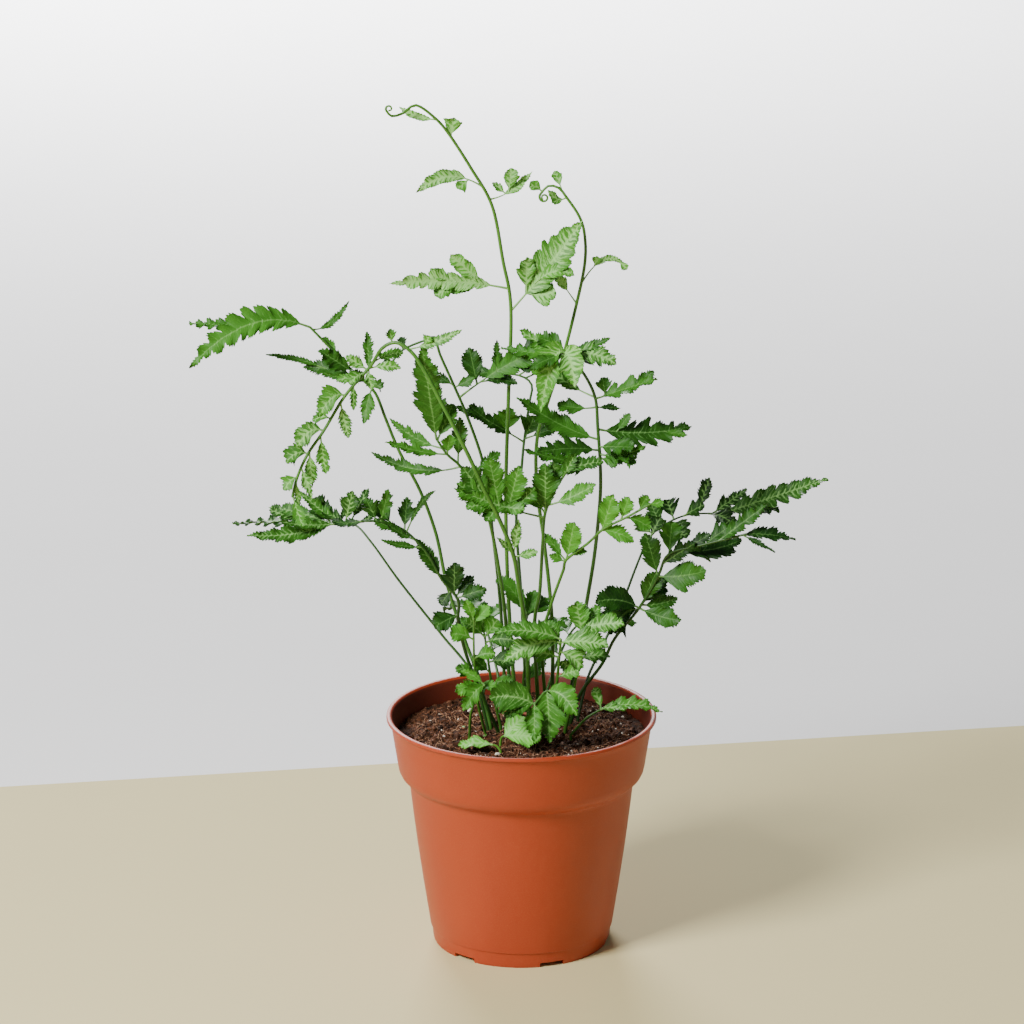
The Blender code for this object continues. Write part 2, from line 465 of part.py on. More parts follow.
            Leaf(1.5, (-6, -3, 6), 6.5, face=60, cut=0.3),
        ),
    ),
    Frond(
        "frond_front", 0.75, 0, 0.3,
        ((8, -12, 87), (12, -18, 100), (10, -23, 109), (5, -27, 105)),
        (
            Leaf(3.0, (-17, -2, 3), 14, bow=2, face=60, stalk=0.03, cut=0.2),
            Leaf(2.95, (-11, -5, -4), 9.5, bow=2, face=56, stalk=0.04, cut=0.2),
            Leaf(3.0, (0, -5, -13), 8, bow=2, face=66, stalk=0.05, cut=0.25),
            Leaf(2.1, (1, -8, -18), 12.5, bow=3, face=64, stalk=0.04, cut=0.2),
            Leaf(1.95, (11, -8, -7), 11.5, bow=3, face=60, stalk=0.04, cut=0.2),
        ),
    ),
    Frond(
        "sprout_pale", 0.55, 0, 0,
        ((-8, -20, 87), (-7.5, -21.5, 89.8), (-6.5, -23, 90.8)),
        (
            Leaf(2.0, (14, -4, 0.5), 12, bow=0.6, face=34, stalk=0.03, cut=0.15),
            Leaf(1.9, (8, 5, 6), 10, bow=0.8, face=40, stalk=0.03, cut=0.15),
        ),
    ),
    Frond(
        "sprout_small", 0.55, 0, 0,
        ((-8, -27, 86.4), (-9.5, -27, 88.2), (-11, -27.2, 88.8)),
        (
            Leaf(2.0, (-13, -0.5, -0.4), 8, bow=0.8, face=22, stalk=0.05, cut=0.25),
        ),
    ),
    Frond(
        "sprout_rim", 0.6, 0, 0,
        ((19, -11, 87), (25, -11.5, 94), (31, -12, 98)),
        (
            Leaf(2.0, (23, -4, 0), 7.5, bow=2.2, face=36, stalk=0.03, cut=0.3),
            Leaf(1.95, (-3, 3, 7.5), 5.5, bow=1, face=50, stalk=0.1, cut=0.2),
            Leaf(1.9, (9, -5, 1.5), 5.5, bow=1, face=40, stalk=0.1, cut=0.2),
        ),
    ),
    Frond(
        "sprout_left", 0.6, 0, 0.3,
        ((-20, -12, 86), (-19, -19, 100), (-14, -25, 112)),
        (
            Leaf(2.0, (-8, -4, -9), 9, bow=2, face=66, stalk=0.05, cut=0.3),
            Leaf(2.0, (-9, -1, 6), 4.5, bow=1, face=60, cut=0.25),
            Leaf(1.95, (-11, -3, -1), 7, bow=1, face=60, cut=0.3),
        ),
    ),
)


def clear_scene():
    """Removes whatever the scene holds."""
    for obj in list(bpy.data.objects):
        bpy.data.objects.remove(obj)


def new_collection(name):
    """A collection linked to the scene."""
    collection = bpy.data.collections.new(name)
    bpy.context.scene.collection.children.link(collection)
    return collection


def new_material(name, color, roughness):
    """A plain Principled material."""
    material = bpy.data.materials.new(name)
    material.use_nodes = True
    shader = material.node_tree.nodes["Principled BSDF"]
    shader.inputs["Base Color"].default_value = (*color, 1)
    shader.inputs["Roughness"].default_value = roughness
    shader.inputs["Metallic"].default_value = 0
    return material


def new_object(name, mesh, collection):
    """Links an object for the mesh."""
    obj = bpy.data.objects.new(name, mesh)
    collection.objects.link(obj)
    return obj


def evaluated_mesh(obj):
    """The object's mesh with its modifiers applied, as new mesh data."""
    graph = bpy.context.evaluated_depsgraph_get()
    return bpy.data.meshes.new_from_object(obj.evaluated_get(graph))


def apply_modifiers(obj):
    """Replaces the object's mesh by its evaluated one and drops its modifiers."""
    mesh = evaluated_mesh(obj)
    obj.modifiers.clear()
    obj.data = mesh


def shade_smooth(obj):
    """Smooth shading on every face."""
    for polygon in obj.data.polygons:
        polygon.use_smooth = True


def join_with(obj, operation, collection, solver="EXACT"):
    """Adds a Boolean with a collection's objects."""
    boolean = obj.modifiers.new(operation.title(), "BOOLEAN")
    boolean.operation = operation
    boolean.operand_type = "COLLECTION"
    boolean.collection = collection
    boolean.solver = solver


def turned(name, profile, collection, material):
    """A solid of revolution about Z. The profile is (radius, height) in millimetres."""
    mesh = bpy.data.meshes.new(name)
    points = [(r * MM, 0, z * MM) for r, z in profile]
    mesh.from_pydata(points, [(i, i + 1) for i in range(len(points) - 1)], [])
    mesh.materials.append(material)
    obj = new_object(name, mesh, collection)
    screw = obj.modifiers.new("Turn", "SCREW")
    screw.steps = screw.render_steps = TURN_STEPS
    screw.use_merge_vertices = True
    screw.merge_threshold = 0.0001
    screw.use_normal_calculate = True
    screw.use_smooth_shade = True
    return obj


def wall_radius(z, inset):
    """The pot's outer radius at a height, less the inset."""
    outside = BAND_PROFILE + BODY_PROFILE
    for (r1, z1), (r2, z2) in zip(outside, outside[1:]):
        if z2 <= z <= z1:
            return r2 + (r1 - r2) * (z - z2) / (z1 - z2) - inset
    return outside[0][0] - inset


def cutter(name, work, collection):
    """A cutting body that doesn't render, from a bmesh."""
    mesh = bpy.data.meshes.new(name)
    work.to_mesh(mesh)
    work.free()
    obj = new_object(name, mesh, collection)
    obj.hide_render = True
    obj.display_type = "WIRE"


def cylinder_cutter(name, centre, radius, height, sides, collection):
    """An upright cutting cylinder, in millimetres."""
    work = bmesh.new()
    bmesh.ops.create_cone(
        work, cap_ends=True, segments=sides, radius1=radius * MM, radius2=radius * MM, depth=height * MM,
        matrix=Matrix.Translation(Vector(centre) * MM))
    cutter(name, work, collection)


def make_pot(collection, cutters, material):
    """The pot: wall, lip, band, foot ring and flat centre, with drain notches and drain holes."""
    inner = [(wall_radius(z, WALL), z) for z in INNER_HEIGHTS]
    inner.append((wall_radius(FLOOR_TOP_Z, WALL), FLOOR_TOP_Z))
    lip = [(LIP_RADIUS - 2.0, POT_HEIGHT), (LIP_RADIUS - 0.3, POT_HEIGHT), (LIP_RADIUS, POT_HEIGHT - 0.4),
           (LIP_RADIUS, POT_HEIGHT - 1.2)]
    foot = [(FOOT_RADIUS, 0.0), (FOOT_RADIUS - 1.6, 0.0), (FOOT_RADIUS - 2.0, FLOOR_UNDER_Z),
            (CENTRE_RADIUS + 0.6, FLOOR_UNDER_Z), (CENTRE_RADIUS, 0.0), (0.0, 0.0)]
    profile = [(0.0, FLOOR_TOP_Z)] + inner[::-1] + lip + list(BAND_PROFILE) + list(BODY_PROFILE) + foot
    pot = turned("pot", profile, collection, material)
    for i in range(NOTCH_COUNT):
        angle = 2 * pi * i / NOTCH_COUNT + NOTCH_ANGLE
        outwards = Vector((cos(angle), sin(angle), 0))
        work = bmesh.new()
        placed = Matrix.Translation(outwards * FOOT_RADIUS * MM) @ Matrix.Rotation(angle, 4, "Z")
        size = Matrix.Diagonal((9 * MM, NOTCH_WIDTH * MM, 2 * NOTCH_HEIGHT * MM, 1))
        bmesh.ops.create_cube(work, size=1, matrix=placed @ size)
        cutter("notch", work, cutters)
        centre = outwards * DRAIN_RING_RADIUS + Vector((0, 0, FLOOR_TOP_Z))
        cylinder_cutter("drain", centre, DRAIN_RADIUS, 5, 10, cutters)
    join_with(pot, "DIFFERENCE", cutters)


def soil_height(x, y):
    """How high the soil's surface is at a point, in millimetres."""
    reach = min(1.0, (x * x + y * y) / wall_radius(SOIL_LEVEL, 0) ** 2)
    crumbs = sin(0.31 * x + 1.3) * cos(0.27 * y) + 0.6 * sin(0.53 * y - 0.41 * x) + 0.4 * cos(0.83 * x + 0.6 * y)
    return SOIL_LEVEL + SOIL_MOUND * (1 - reach) + CRUMB * crumbs * (1 - reach**4)


def make_soil(collection, cutters, material):
    """The soil: a turned plug with a crumbly top and a plain hole for each stem."""
    inset = WALL + CLEARANCE
    edge = wall_radius(SOIL_LEVEL, inset)
    top = [(edge * i / SOIL_RINGS, SOIL_LEVEL) for i in range(SOIL_RINGS + 1)]
    wall = [(wall_radius(z, inset), z) for z in INNER_HEIGHTS[1:]]
    floor_z = FLOOR_TOP_Z + CLEARANCE
    profile = top + wall + [(wall_radius(floor_z, inset), floor_z), (0.0, floor_z)]
    soil = turned("soil", profile, collection, material)
    apply_modifiers(soil)
    for vertex in soil.data.vertices:
        if vertex.co.z > (SOIL_LEVEL - 0.5) * MM:
            vertex.co.z = soil_height(vertex.co.x / MM, vertex.co.y / MM) * MM
    for frond in FRONDS:
        centre = Vector(frond.stem[0]) - Vector((0, 0, ROOT_DEPTH / 2 - 3))
        radius = (frond.radius + HOLE_CLEARANCE) / cos(pi / HOLE_SIDES)
        height = ROOT_DEPTH + 2 * HOLE_CLEARANCE + 6
        cylinder_cutter(frond.name + "_hole", centre, radius, height, HOLE_SIDES, cutters)
    join_with(soil, "DIFFERENCE", cutters)


def stem_path(frond):
    """The stem's points, leaning more and more towards its end."""
    last = len(frond.stem) - 1
    return [Vector(point) + SIGHT * frond.lean * (i / last) ** 1.5 for i, point in enumerate(frond.stem)]


def stem_point(frond, place):
    """The point on the stem at a place counted in stem points."""
    path = stem_path(frond)
    i = min(int(place), len(path) - 2)
    return path[i].lerp(path[i + 1], place - i)


def make_stem(frond, collection):
    """The stem: a bevelled curve from its root upwards, thinner towards its tip, as a mesh."""
    curve = bpy.data.curves.new(frond.name, "CURVE")
    curve.dimensions = "3D"
    curve.bevel_depth = frond.radius * MM
    curve.bevel_resolution = 0
    curve.use_fill_caps = True
    path = stem_path(frond)
    path.insert(0, path[0] - Vector((0, 0, ROOT_DEPTH)))
    spline = curve.splines.new("POLY")
    spline.points.add(len(path) - 1)
    for i, (point, place) in enumerate(zip(spline.points, path)):
        point.co = (*(place * MM), 1)
        point.radius = 1 - (1 - STEM_TIP_SHARE) * max(0, i - 1) / (len(path) - 2)
    guide = new_object(frond.name + "_curve", curve, collection)
    mesh = evaluated_mesh(guide)
    bpy.data.objects.remove(guide)
    work = bmesh.new()
    work.from_mesh(mesh)
    bmesh.ops.remove_doubles(work, verts=work.verts, dist=0.00001)
    work.to_mesh(mesh)
    work.free()
    return new_object(frond.name, mesh, collection)


class Rib:
    """A blade's midrib, an arc from its root to its tip, with the blade's edge points at each place."""

    def __init__(self, root, leaf, lean=0.0):
        reach = Vector(leaf.tip)
        reach += SIGHT * lean * reach.length * cos(radians(leaf.face))
        self.root = root - reach.normalized() * SINK
        self.tip = root + reach
        self.bend = (self.root + self.tip) / 2 + Vector((0, 0, 2 * leaf.bow))
        self.up = Vector((0, -sin(radians(leaf.face)), cos(radians(leaf.face))))

    def point(self, t):
        """The rib's point at share t."""
        return self.root * (1 - t) ** 2 + self.bend * 2 * t * (1 - t) + self.tip * t**2

    def row(self, t, half):
        """The blade's two edge points at share t, swept forward along the veins."""
        along = ((self.bend - self.root) * (1 - t) + (self.tip - self.bend) * t).normalized()
        across = along.cross(self.up).normalized()
        forward = along * sin(VEIN_SWEEP) * half
        sideways = across * cos(VEIN_SWEEP) * half
        return self.point(t) + forward - sideways, self.point(t) + forward + sideways


def blade_shape(s):
    """A blade's half-width as a share of its widest, at share s of its length."""
    peak = SHAPE_RISE / (SHAPE_RISE + SHAPE_FALL)
    return (s / peak) ** SHAPE_RISE * ((1 - s) / (1 - peak)) ** SHAPE_FALL


def blade_rows(rib, leaf):
    """The blade's rows of edge points: a bare stalk, then a valley and a peak for each lobe."""
    length = (rib.tip - rib.root).length * (1 - leaf.stalk)
    lobes = min(MOST_LOBES, max(1, round(length / LOBE_LENGTH)))
    rows = [rib.row(0, STALK_HALF_WIDTH)]
    if leaf.stalk > SHORTEST_STALK:
        rows.append(rib.row(leaf.stalk, STALK_HALF_WIDTH))
    for lobe in range(lobes):
        for place, share in ((0, 1 - leaf.cut), (LOBE_PEAK if lobes > 1 else PLAIN_PEAK, 1)):
            s = (lobe + place) / lobes
            if s > 0:
                half = max(STALK_HALF_WIDTH, leaf.width / 2 * blade_shape(s) * share)
                rows.append(rib.row(leaf.stalk + (1 - leaf.stalk) * s, half))
    return rows


def make_blade(rib, leaf, collection):
    """One blade: a strip of rows ending in a point, with Solidify for its thickness."""
    rows = blade_rows(rib, leaf)
    points = [point * MM for row in rows for point in row] + [rib.tip * MM]
    faces = []
    for i in range(0, 2 * len(rows) - 2, 2):
        faces += [(i, i + 1, i + 3), (i, i + 3, i + 2)]
    faces.append((len(points) - 3, len(points) - 2, len(points) - 1))
    mesh = bpy.data.meshes.new("blade")
    mesh.from_pydata(points, [], faces)
    solidify = new_object("blade", mesh, collection).modifiers.new("Thickness", "SOLIDIFY")
    solidify.thickness = BLADE_THICKNESS * MM
    solidify.offset = 0


def make_frond(frond, collection, material):
    """A frond: its stem with every blade and leaflet joined to it in one solid."""
    blades = new_collection(frond.name + "_blades")
    for i, leaf in enumerate(frond.leaves):
        lean = BLADE_LEANS[i % len(BLADE_LEANS)] * frond.spread
        rib = Rib(stem_point(frond, leaf.at), leaf, lean)
        make_blade(rib, leaf, blades)
        for leaflet in leaf.side:
            make_blade(Rib(rib.point(leaflet.at), leaflet), leaflet, blades)
    stem = make_stem(frond, collection)
    join_with(stem, "UNION", blades, "MANIFOLD")
    apply_modifiers(stem)
    for obj in list(blades.objects):
        bpy.data.objects.remove(obj)
    bpy.data.collections.remove(blades)
    stem.data.materials.clear()
    stem.data.materials.append(material)


def main():
    """Builds the potted fern."""
    clear_scene()
    plant = new_collection("potted_brake_fern")
    green = new_material("fern_green", (0.09, 0.24, 0.04), 0.5)
    for frond in FRONDS:
        make_frond(frond, plant, green)
    make_soil(plant, new_collection("stem_holes"), new_material("soil", (0.07, 0.035, 0.02), 0.95))
    make_pot(plant, new_collection("pot_cutters"), new_material("terracotta_plastic", (0.53, 0.13, 0.05), 0.5))


main()
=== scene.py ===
"""The look of the potted brake fern: its pot, its soil and every frond, with a pale floor and studio light.

Lengths in the tables are millimetres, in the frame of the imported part: the origin is the middle of the pot's
foot, +Z is up, and -Y is the side that the photo shows.
"""

import json
import logging
import math
import random
from collections.abc import Iterable, Sequence
from dataclasses import dataclass, field
from enum import Enum

import bmesh
import bpy
from mathutils import Matrix, Vector, noise

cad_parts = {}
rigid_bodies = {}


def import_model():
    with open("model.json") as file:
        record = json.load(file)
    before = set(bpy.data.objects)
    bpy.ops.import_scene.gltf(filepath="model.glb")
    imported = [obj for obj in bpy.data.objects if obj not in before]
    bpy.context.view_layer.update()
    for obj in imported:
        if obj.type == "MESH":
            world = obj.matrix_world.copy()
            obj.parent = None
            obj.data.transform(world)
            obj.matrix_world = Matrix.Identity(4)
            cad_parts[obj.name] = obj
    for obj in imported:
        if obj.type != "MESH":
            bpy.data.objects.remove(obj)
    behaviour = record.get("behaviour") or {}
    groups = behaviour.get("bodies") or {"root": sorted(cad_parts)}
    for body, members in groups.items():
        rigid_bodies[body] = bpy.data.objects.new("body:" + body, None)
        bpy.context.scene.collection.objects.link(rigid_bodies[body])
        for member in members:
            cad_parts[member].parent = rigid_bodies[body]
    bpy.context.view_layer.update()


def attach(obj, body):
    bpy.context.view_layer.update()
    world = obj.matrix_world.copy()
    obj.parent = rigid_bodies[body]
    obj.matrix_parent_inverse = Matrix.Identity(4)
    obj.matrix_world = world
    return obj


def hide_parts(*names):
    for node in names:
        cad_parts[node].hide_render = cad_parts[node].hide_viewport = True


LOG = logging.getLogger("potted_fern")
MM = 0.001
ROOT_DEPTH = 12.0
SIGHT = Vector((0, -1, 0.345))
BLADE_LEANS = (0.55, -0.45, 0.3, -0.6, 0.45, -0.3)

RGB = tuple[float, float, float]


class Tone(Enum):
    """A frond's green: how light its blades are, and how far the silver spreads from their ribs."""

    BRIGHT = (0.95, 0.85)
    SILVER = (0.5, 0.9)
    PALE = (0.36, 0.68)
    LIGHT = (0.42, 0.26)
    MIXED = (0.28, 0.42)
    GREEN = (0.24, 0.2)
    DARK = (0.165, 0.14)
    FROSTED = (0.1, 0.52)
    DEEP = (0.09, 0.16)

    @property
    def light(self) -> float:
        """How light the green is, from 0 to 1."""
        return self.value[0]

    @property
    def silver(self) -> float:
        """How far the silver spreads, from 0 to 1."""
        return self.value[1]


@dataclass(frozen=True)
class Leaf:
    """One blade.

    at is its place on the stem, counted in stem points, or for a leaflet its share of the rib. tip is the tip's
    offset from the root, bow the rib's rise at its middle, and face how far the blade turns to the viewer.
    """

    at: float
    tip: tuple
    width: float
    bow: float = 0.0
    face: float = 38.0
    stalk: float = 0.14
    cut: float = 0.38
    side: tuple = ()
    tone: Tone | None = None


@dataclass(frozen=True)
class Frond:
    """A stem, as points from the soil to its end, and the blades on it.

    lean is how far its end bends towards the viewer, and spread is how far its blades point forward and back.
    """

    name: str
    tone: Tone
    radius: float
    lean: float
    spread: float
    stem: tuple
    leaves: tuple


FRONDS = (
    Frond(
        "frond_tall_left", Tone.SILVER, 0.8, 8, 1.0,
        ((-2, 14, 86), (-5, 13, 134), (-6, 12, 175), (-5, 12, 214), (-4, 12, 250), (-7, 11, 269), (-11, 10, 290),
         (-19, 8, 305), (-27, 6, 318), (-32, 5, 324), (-39, 4, 329), (-44, 3, 326), (-48, 2, 325), (-50, 2, 327)),
        (
            Leaf(4.35, (-45, -1, 1), 8, bow=2, face=66, stalk=0.15, cut=0.45, side=(
                Leaf(0.22, (-12, -2, 12), 8, face=70, cut=0.2),
                Leaf(0.24, (-12, -3, -3), 5, face=62, cut=0.25),
                Leaf(0.44, (-8, -3, -5), 7, face=62, cut=0.2),
                Leaf(0.48, (-8, -1, 5), 6, face=72, cut=0.2))),
            Leaf(3.97, (27, -9, 38), 14, bow=-1, face=64, stalk=0.2, cut=0.2, side=(
                Leaf(0.22, (0, -1, 14), 9, bow=1, face=74, cut=0.25),
                Leaf(0.22, (11, -2, 1), 10.5, bow=-1, face=56, cut=0.2),
                Leaf(0.33, (15, -4, 4), 7, bow=3, face=56, cut=0.3))),
            Leaf(6.45, (-25, -2, -2), 6.5, bow=5, face=62, stalk=0.26, cut=0.2, side=(
                Leaf(0.22, (-4, -3, -3), 6, face=64, cut=0.15),)),
            Leaf(6.15, (16, 2, 11), 4.5, bow=-2, face=60, stalk=0.35, side=(
                Leaf(0.38, (-5, 1, 4), 3.5, face=60),
                Leaf(0.45, (1, 1, 9), 7, face=70, cut=0.25))),
            Leaf(7.9, (1, 0, 7), 8, face=80, cut=0.1),
            Leaf(8.9, (-14, 0, 5), 3.5, bow=-1, face=70, cut=0.15),
        ),
    ),
    Frond(
        "frond_tall_right", Tone.SILVER, 0.8, -10, 1.0,
        ((12, 16, 85), (12, 18, 122), (9, 19, 154), (6, 19, 177), (6, 18, 197), (10, 17, 212), (16, 16, 231),
         (21, 14, 252), (24, 12, 268), (24, 11, 279), (22, 9, 287), (17, 8, 295), (14, 7, 299), (10, 6, 300), (7, 5, 297)),
        (
            Leaf(7.0, (-8, 1, 11), 5, face=60, stalk=0.45, cut=0.2),
            Leaf(7.45, (17, -2, 8), 3.5, bow=6, face=60, stalk=0.3, side=(
                Leaf(0.3, (1, -1, 4), 3.5, face=70, cut=0.1),
                Leaf(0.85, (3, -1, -3), 3.5, face=70, cut=0.1))),
            Leaf(11.0, (-7, -2, 3), 4.5, bow=-2, face=60, stalk=0.2, cut=0.15),
            Leaf(11.6, (-3, 2, 7), 4.5, bow=1, face=60, stalk=0.2, cut=0.15),
            Leaf(13.7, (-5, -1, 2), 4.5, bow=1, face=60, cut=0.2),
        ),
    ),
    Frond(
        "frond_left_high", Tone.GREEN, 0.8, -16, 1.0,
        ((-12, 2, 86), (-17, 6, 106), (-22, 9, 119), (-29, 13, 141), (-33, 15, 160), (-39, 16, 177), (-47, 16, 193),
         (-52, 15, 206), (-56, 14, 217), (-61, 13, 223), (-67, 12, 229), (-73, 11, 236), (-81, 10, 245)),
        (
            Leaf(12.0, (-45, -3, -17), 14, bow=9, face=50, stalk=0.08, cut=0.5, side=(
                Leaf(0.4, (-28, 4, -1.5), 8, bow=-1, face=30, cut=0.3),)),
            Leaf(11.9, (14, 3, 11), 4.5, bow=-3, face=60, stalk=0.2, cut=0.5),
            Leaf(9.4, (-14, -3, 10), 9, face=66, stalk=0.2, cut=0.15),
            Leaf(9.2, (-22, -2, 5), 9, bow=1, face=60, stalk=0.2, cut=0.3, side=(
                Leaf(0.6, (-23, 2, 5), 3.5, bow=1, face=50, cut=0.5),)),
            Leaf(9.0, (-16, 3, 2), 3.5, bow=-1, face=60),
            Leaf(8.5, (-1, 3, 21), 5.5, bow=1, face=60, stalk=0.3, cut=0.45),
            Leaf(8.3, (-3, -5, -13), 7, bow=2, face=72, stalk=0.2, cut=0.2),
            Leaf(8.3, (4, -3, 1), 6, bow=1, face=70, cut=0.1),
            Leaf(8.7, (-6, -3, 6), 6, face=66, cut=0.3),
            Leaf(10.6, (-6, 2, 7), 4, bow=1, face=50, cut=0.4),
        ),
    ),
    Frond(
        "frond_arch", Tone.PALE, 0.9, 12, 0.8,
        ((3, -6, 86), (2, -12, 126), (-1, -17, 149), (-3, -20, 162), (-8, -22, 176), (-14, -24, 189), (-20, -25, 203),
         (-29, -24, 221), (-37, -22, 236), (-42, -20, 242), (-47, -18, 244), (-52, -16, 241), (-56, -14, 234),
         (-61, -13, 228), (-67, -12, 220), (-74, -12, 208), (-80, -12, 199), (-84, -12, 190), (-86, -12, 182)),
        (
            Leaf(3.0, (2, 0, 14), 5.5, face=66, stalk=0.2, cut=0.2),
            Leaf(2.95, (9, -2, 3), 5, face=60, stalk=0.2, cut=0.2),
            Leaf(3.05, (-6, -2, 7), 3, face=60, cut=0.2),
            Leaf(9.0, (20, -12, 11), 5, bow=-1, face=60, stalk=0.2, cut=0.15, side=(
                Leaf(0.3, (2, -1, 4), 5, face=70, cut=0.1),)),
            Leaf(10.2, (-1, 0, 5), 5, face=70, cut=0.15),
            Leaf(11.8, (11, 3, 3), 5.5, bow=1, face=60, stalk=0.2, cut=0.2),
            Leaf(12.2, (12, 3, -1), 5, bow=1, face=60, stalk=0.2, cut=0.2),
            Leaf(12.3, (-8, -2, 6), 6, face=60, cut=0.2),
            Leaf(12.6, (-5, -4, -3), 6, bow=1, face=66, cut=0.2),
            Leaf(12.4, (2, -3, -6), 5.5, bow=1, face=66, cut=0.2),
            Leaf(13.8, (-10, -2, -8), 10, bow=3, face=66, stalk=0.1, cut=0.2),
            Leaf(14.1, (3, -2, -13), 6, face=66, cut=0.25),
            Leaf(15.0, (-10, -2, -6), 9.5, bow=3, face=66, stalk=0.1, cut=0.2),
            Leaf(15.2, (2, -2, -14), 6, face=66, cut=0.3),
            Leaf(16.0, (-8, -2, -3), 9.5, bow=2, face=66, stalk=0.1, cut=0.2),
            Leaf(15.9, (1, -1, -13), 7, face=66, cut=0.25),
            Leaf(17.0, (-5, -1, -5), 7, bow=1, face=66, cut=0.2),
            Leaf(17.2, (1, -1, -11), 3.5, face=66, cut=0.2),
            Leaf(17.9, (4, -1, -12), 5, bow=-1, face=66, cut=0.2),
            Leaf(13.3, (0, -2, -9), 4, bow=1, face=66, cut=0.3),
            Leaf(16.6, (4, -2, -12), 5, bow=1, face=66, cut=0.3),
            Leaf(14.6, (-7, 1, -1), 5, bow=1, face=60, cut=0.3),
            Leaf(13.0, (-8, 1, -1), 5, bow=1, face=60, cut=0.3),
        ),
    ),
    Frond(
        "frond_kinked", Tone.DARK, 0.7, -8, 0.4,
        ((-6, 12, 86), (-8, 12, 130), (-11, 11, 161), (-14, 10, 187), (-20, 9, 207), (-26, 8, 222), (-31, 7, 234),
         (-33, 6, 241), (-37, 5, 240), (-45, 3, 237), (-50, 0, 232)),
        (
            Leaf(4.6, (34, -1, 20), 11, bow=2, face=58, stalk=0.3, cut=0.4, side=(
                Leaf(0.2, (-3, 2, 14), 11, face=60, stalk=0.1, cut=0.2),
                Leaf(0.24, (14, -3, 0), 6, bow=1, face=34, cut=0.4),
                Leaf(0.42, (0, 1, 12), 4, face=50, cut=0.4),
                Leaf(0.5, (15, -3, 0), 7.5, bow=1, face=34, cut=0.4),
                Leaf(0.66, (9, 2, 6), 9, face=40, cut=0.3))),
            Leaf(4.95, (-8, 1, 5), 5.5, face=56, cut=0.3),
            Leaf(4.9, (8, -1, 4), 5.5, face=56, cut=0.3),
            Leaf(9.0, (-1, 0, 5), 5, face=60, cut=0.2),
            Leaf(9.8, (-5, -2, 3), 5, face=50, cut=0.3),
        ),
    ),
    Frond(
        "frond_centre_left", Tone.GREEN, 0.8, 8, 0.9,
        ((-4, 5, 87), (-6, 2, 128), (-9, -1, 153), (-13, -4, 174), (-18, -6, 184), (-23, -7, 193), (-28, -8, 198), (-32, -8, 204)),
        (
            Leaf(7.0, (-5, -1, 36), 12.5, bow=0, face=66, stalk=0.05, cut=0.2),
            Leaf(6.4, (-20, 0, 12), 6, bow=-2, face=58, stalk=0.2, cut=0.5),
            Leaf(6.0, (-23, -2, 5), 6, bow=-1, face=50, stalk=0.15, cut=0.45),
            Leaf(5.0, (-34, -2, 7), 6.5, bow=-4, face=50, stalk=0.2, cut=0.5),
            Leaf(6.0, (1, -2, 8), 7.5, face=66, cut=0.2),
            Leaf(6.9, (6, 1, 14), 9.5, face=66, cut=0.25),
            Leaf(5.2, (1, 3, 17), 8, face=66, stalk=0.2, cut=0.2),
            Leaf(4.2, (11, 2, 12), 6, bow=2, face=50, stalk=0.25, cut=0.35),
        ),
    ),
    Frond(
        "frond_centre", Tone.DARK, 0.65, -12, 1.0,
        ((2, 19, 85), (0, 24, 131), (-2, 27, 162), (0, 29, 182), (1, 30, 193), (3, 31, 208), (4, 31, 216), (-1, 31, 220), (-10, 30, 221)),
        (
            Leaf(4.0, (-27, 2, 13), 7, bow=1, face=48, stalk=0.18, cut=0.45, side=(
                Leaf(0.26, (1, -3, 10), 11, face=66, stalk=0.05, cut=0.25),
                Leaf(0.5, (-8, -2, 7), 6, face=56, cut=0.3))),
            Leaf(4.1, (4, -2, 10), 11, face=60, stalk=0.15, cut=0.3),
            Leaf(4.1, (14, -1, 5), 7.5, face=46, stalk=0.25, cut=0.35),
            Leaf(6.6, (17, 1, 6), 7.5, bow=1, face=34, cut=0.4),
            Leaf(7.0, (12, -2, 2), 6, bow=2, face=30, cut=0.4),
            Leaf(7.9, (-12, -1, -1), 6, bow=1, face=38, stalk=0.1, cut=0.4),
            Leaf(7.6, (-4, 1, 8), 7, face=56, cut=0.3),
        ),
    ),
    Frond(
        "frond_right_high", Tone.DARK, 0.85, 2, 1.0,
        ((17, 12, 86), (22, 9, 113), (25, 6, 134), (28, 3, 155), (30, 1, 178), (30, 0, 192), (29, 0, 206), (28, 0, 218),
         (24, 0, 227), (19, 0, 233), (16, 0, 236)),
        (
            Leaf(7.0, (23, -1, 7), 9, bow=0, face=46, stalk=0.12, cut=0.5, side=(
                Leaf(0.16, (-1, 0, 7), 6.5, face=56, cut=0.2),
                Leaf(0.6, (8, 1, 6), 6.5, face=50, cut=0.35))),
            Leaf(7.05, (-19, 2, 12), 7, bow=-1, face=46, stalk=0.3, cut=0.2, tone=Tone.PALE),
            Leaf(9.4, (18, -2, -3), 10.5, bow=2.5, face=44, stalk=0.1, cut=0.25, tone=Tone.PALE),
            Leaf(9.9, (-9, -7, -21), 12.5, bow=8, face=74, stalk=0.04, cut=0.2, tone=Tone.SILVER),
            Leaf(9.9, (4, -7, -12), 11.5, bow=4, face=70, stalk=0.04, cut=0.2, tone=Tone.SILVER),
            Leaf(9.0, (9, 4, -1), 8.5, face=30, cut=0.3),
            Leaf(9.9, (17, 8, 3), 5.5, bow=-1, face=34, cut=0.5),
            Leaf(9.9, (-17, 1, 9), 8, bow=-1, face=52, stalk=0.06, cut=0.35, tone=Tone.PALE),
            Leaf(9.9, (-10, 6, 4), 9.5, bow=1, face=40, stalk=0.05, cut=0.3),
            Leaf(6.0, (36, -3, 3), 14.5, bow=-2, face=50, stalk=0.08, cut=0.5, tone=Tone.GREEN, side=(
                Leaf(0.2, (5, 1, 7), 5, face=56, cut=0.3),
                Leaf(0.7, (9, -2, -1), 5, face=40, cut=0.3))),
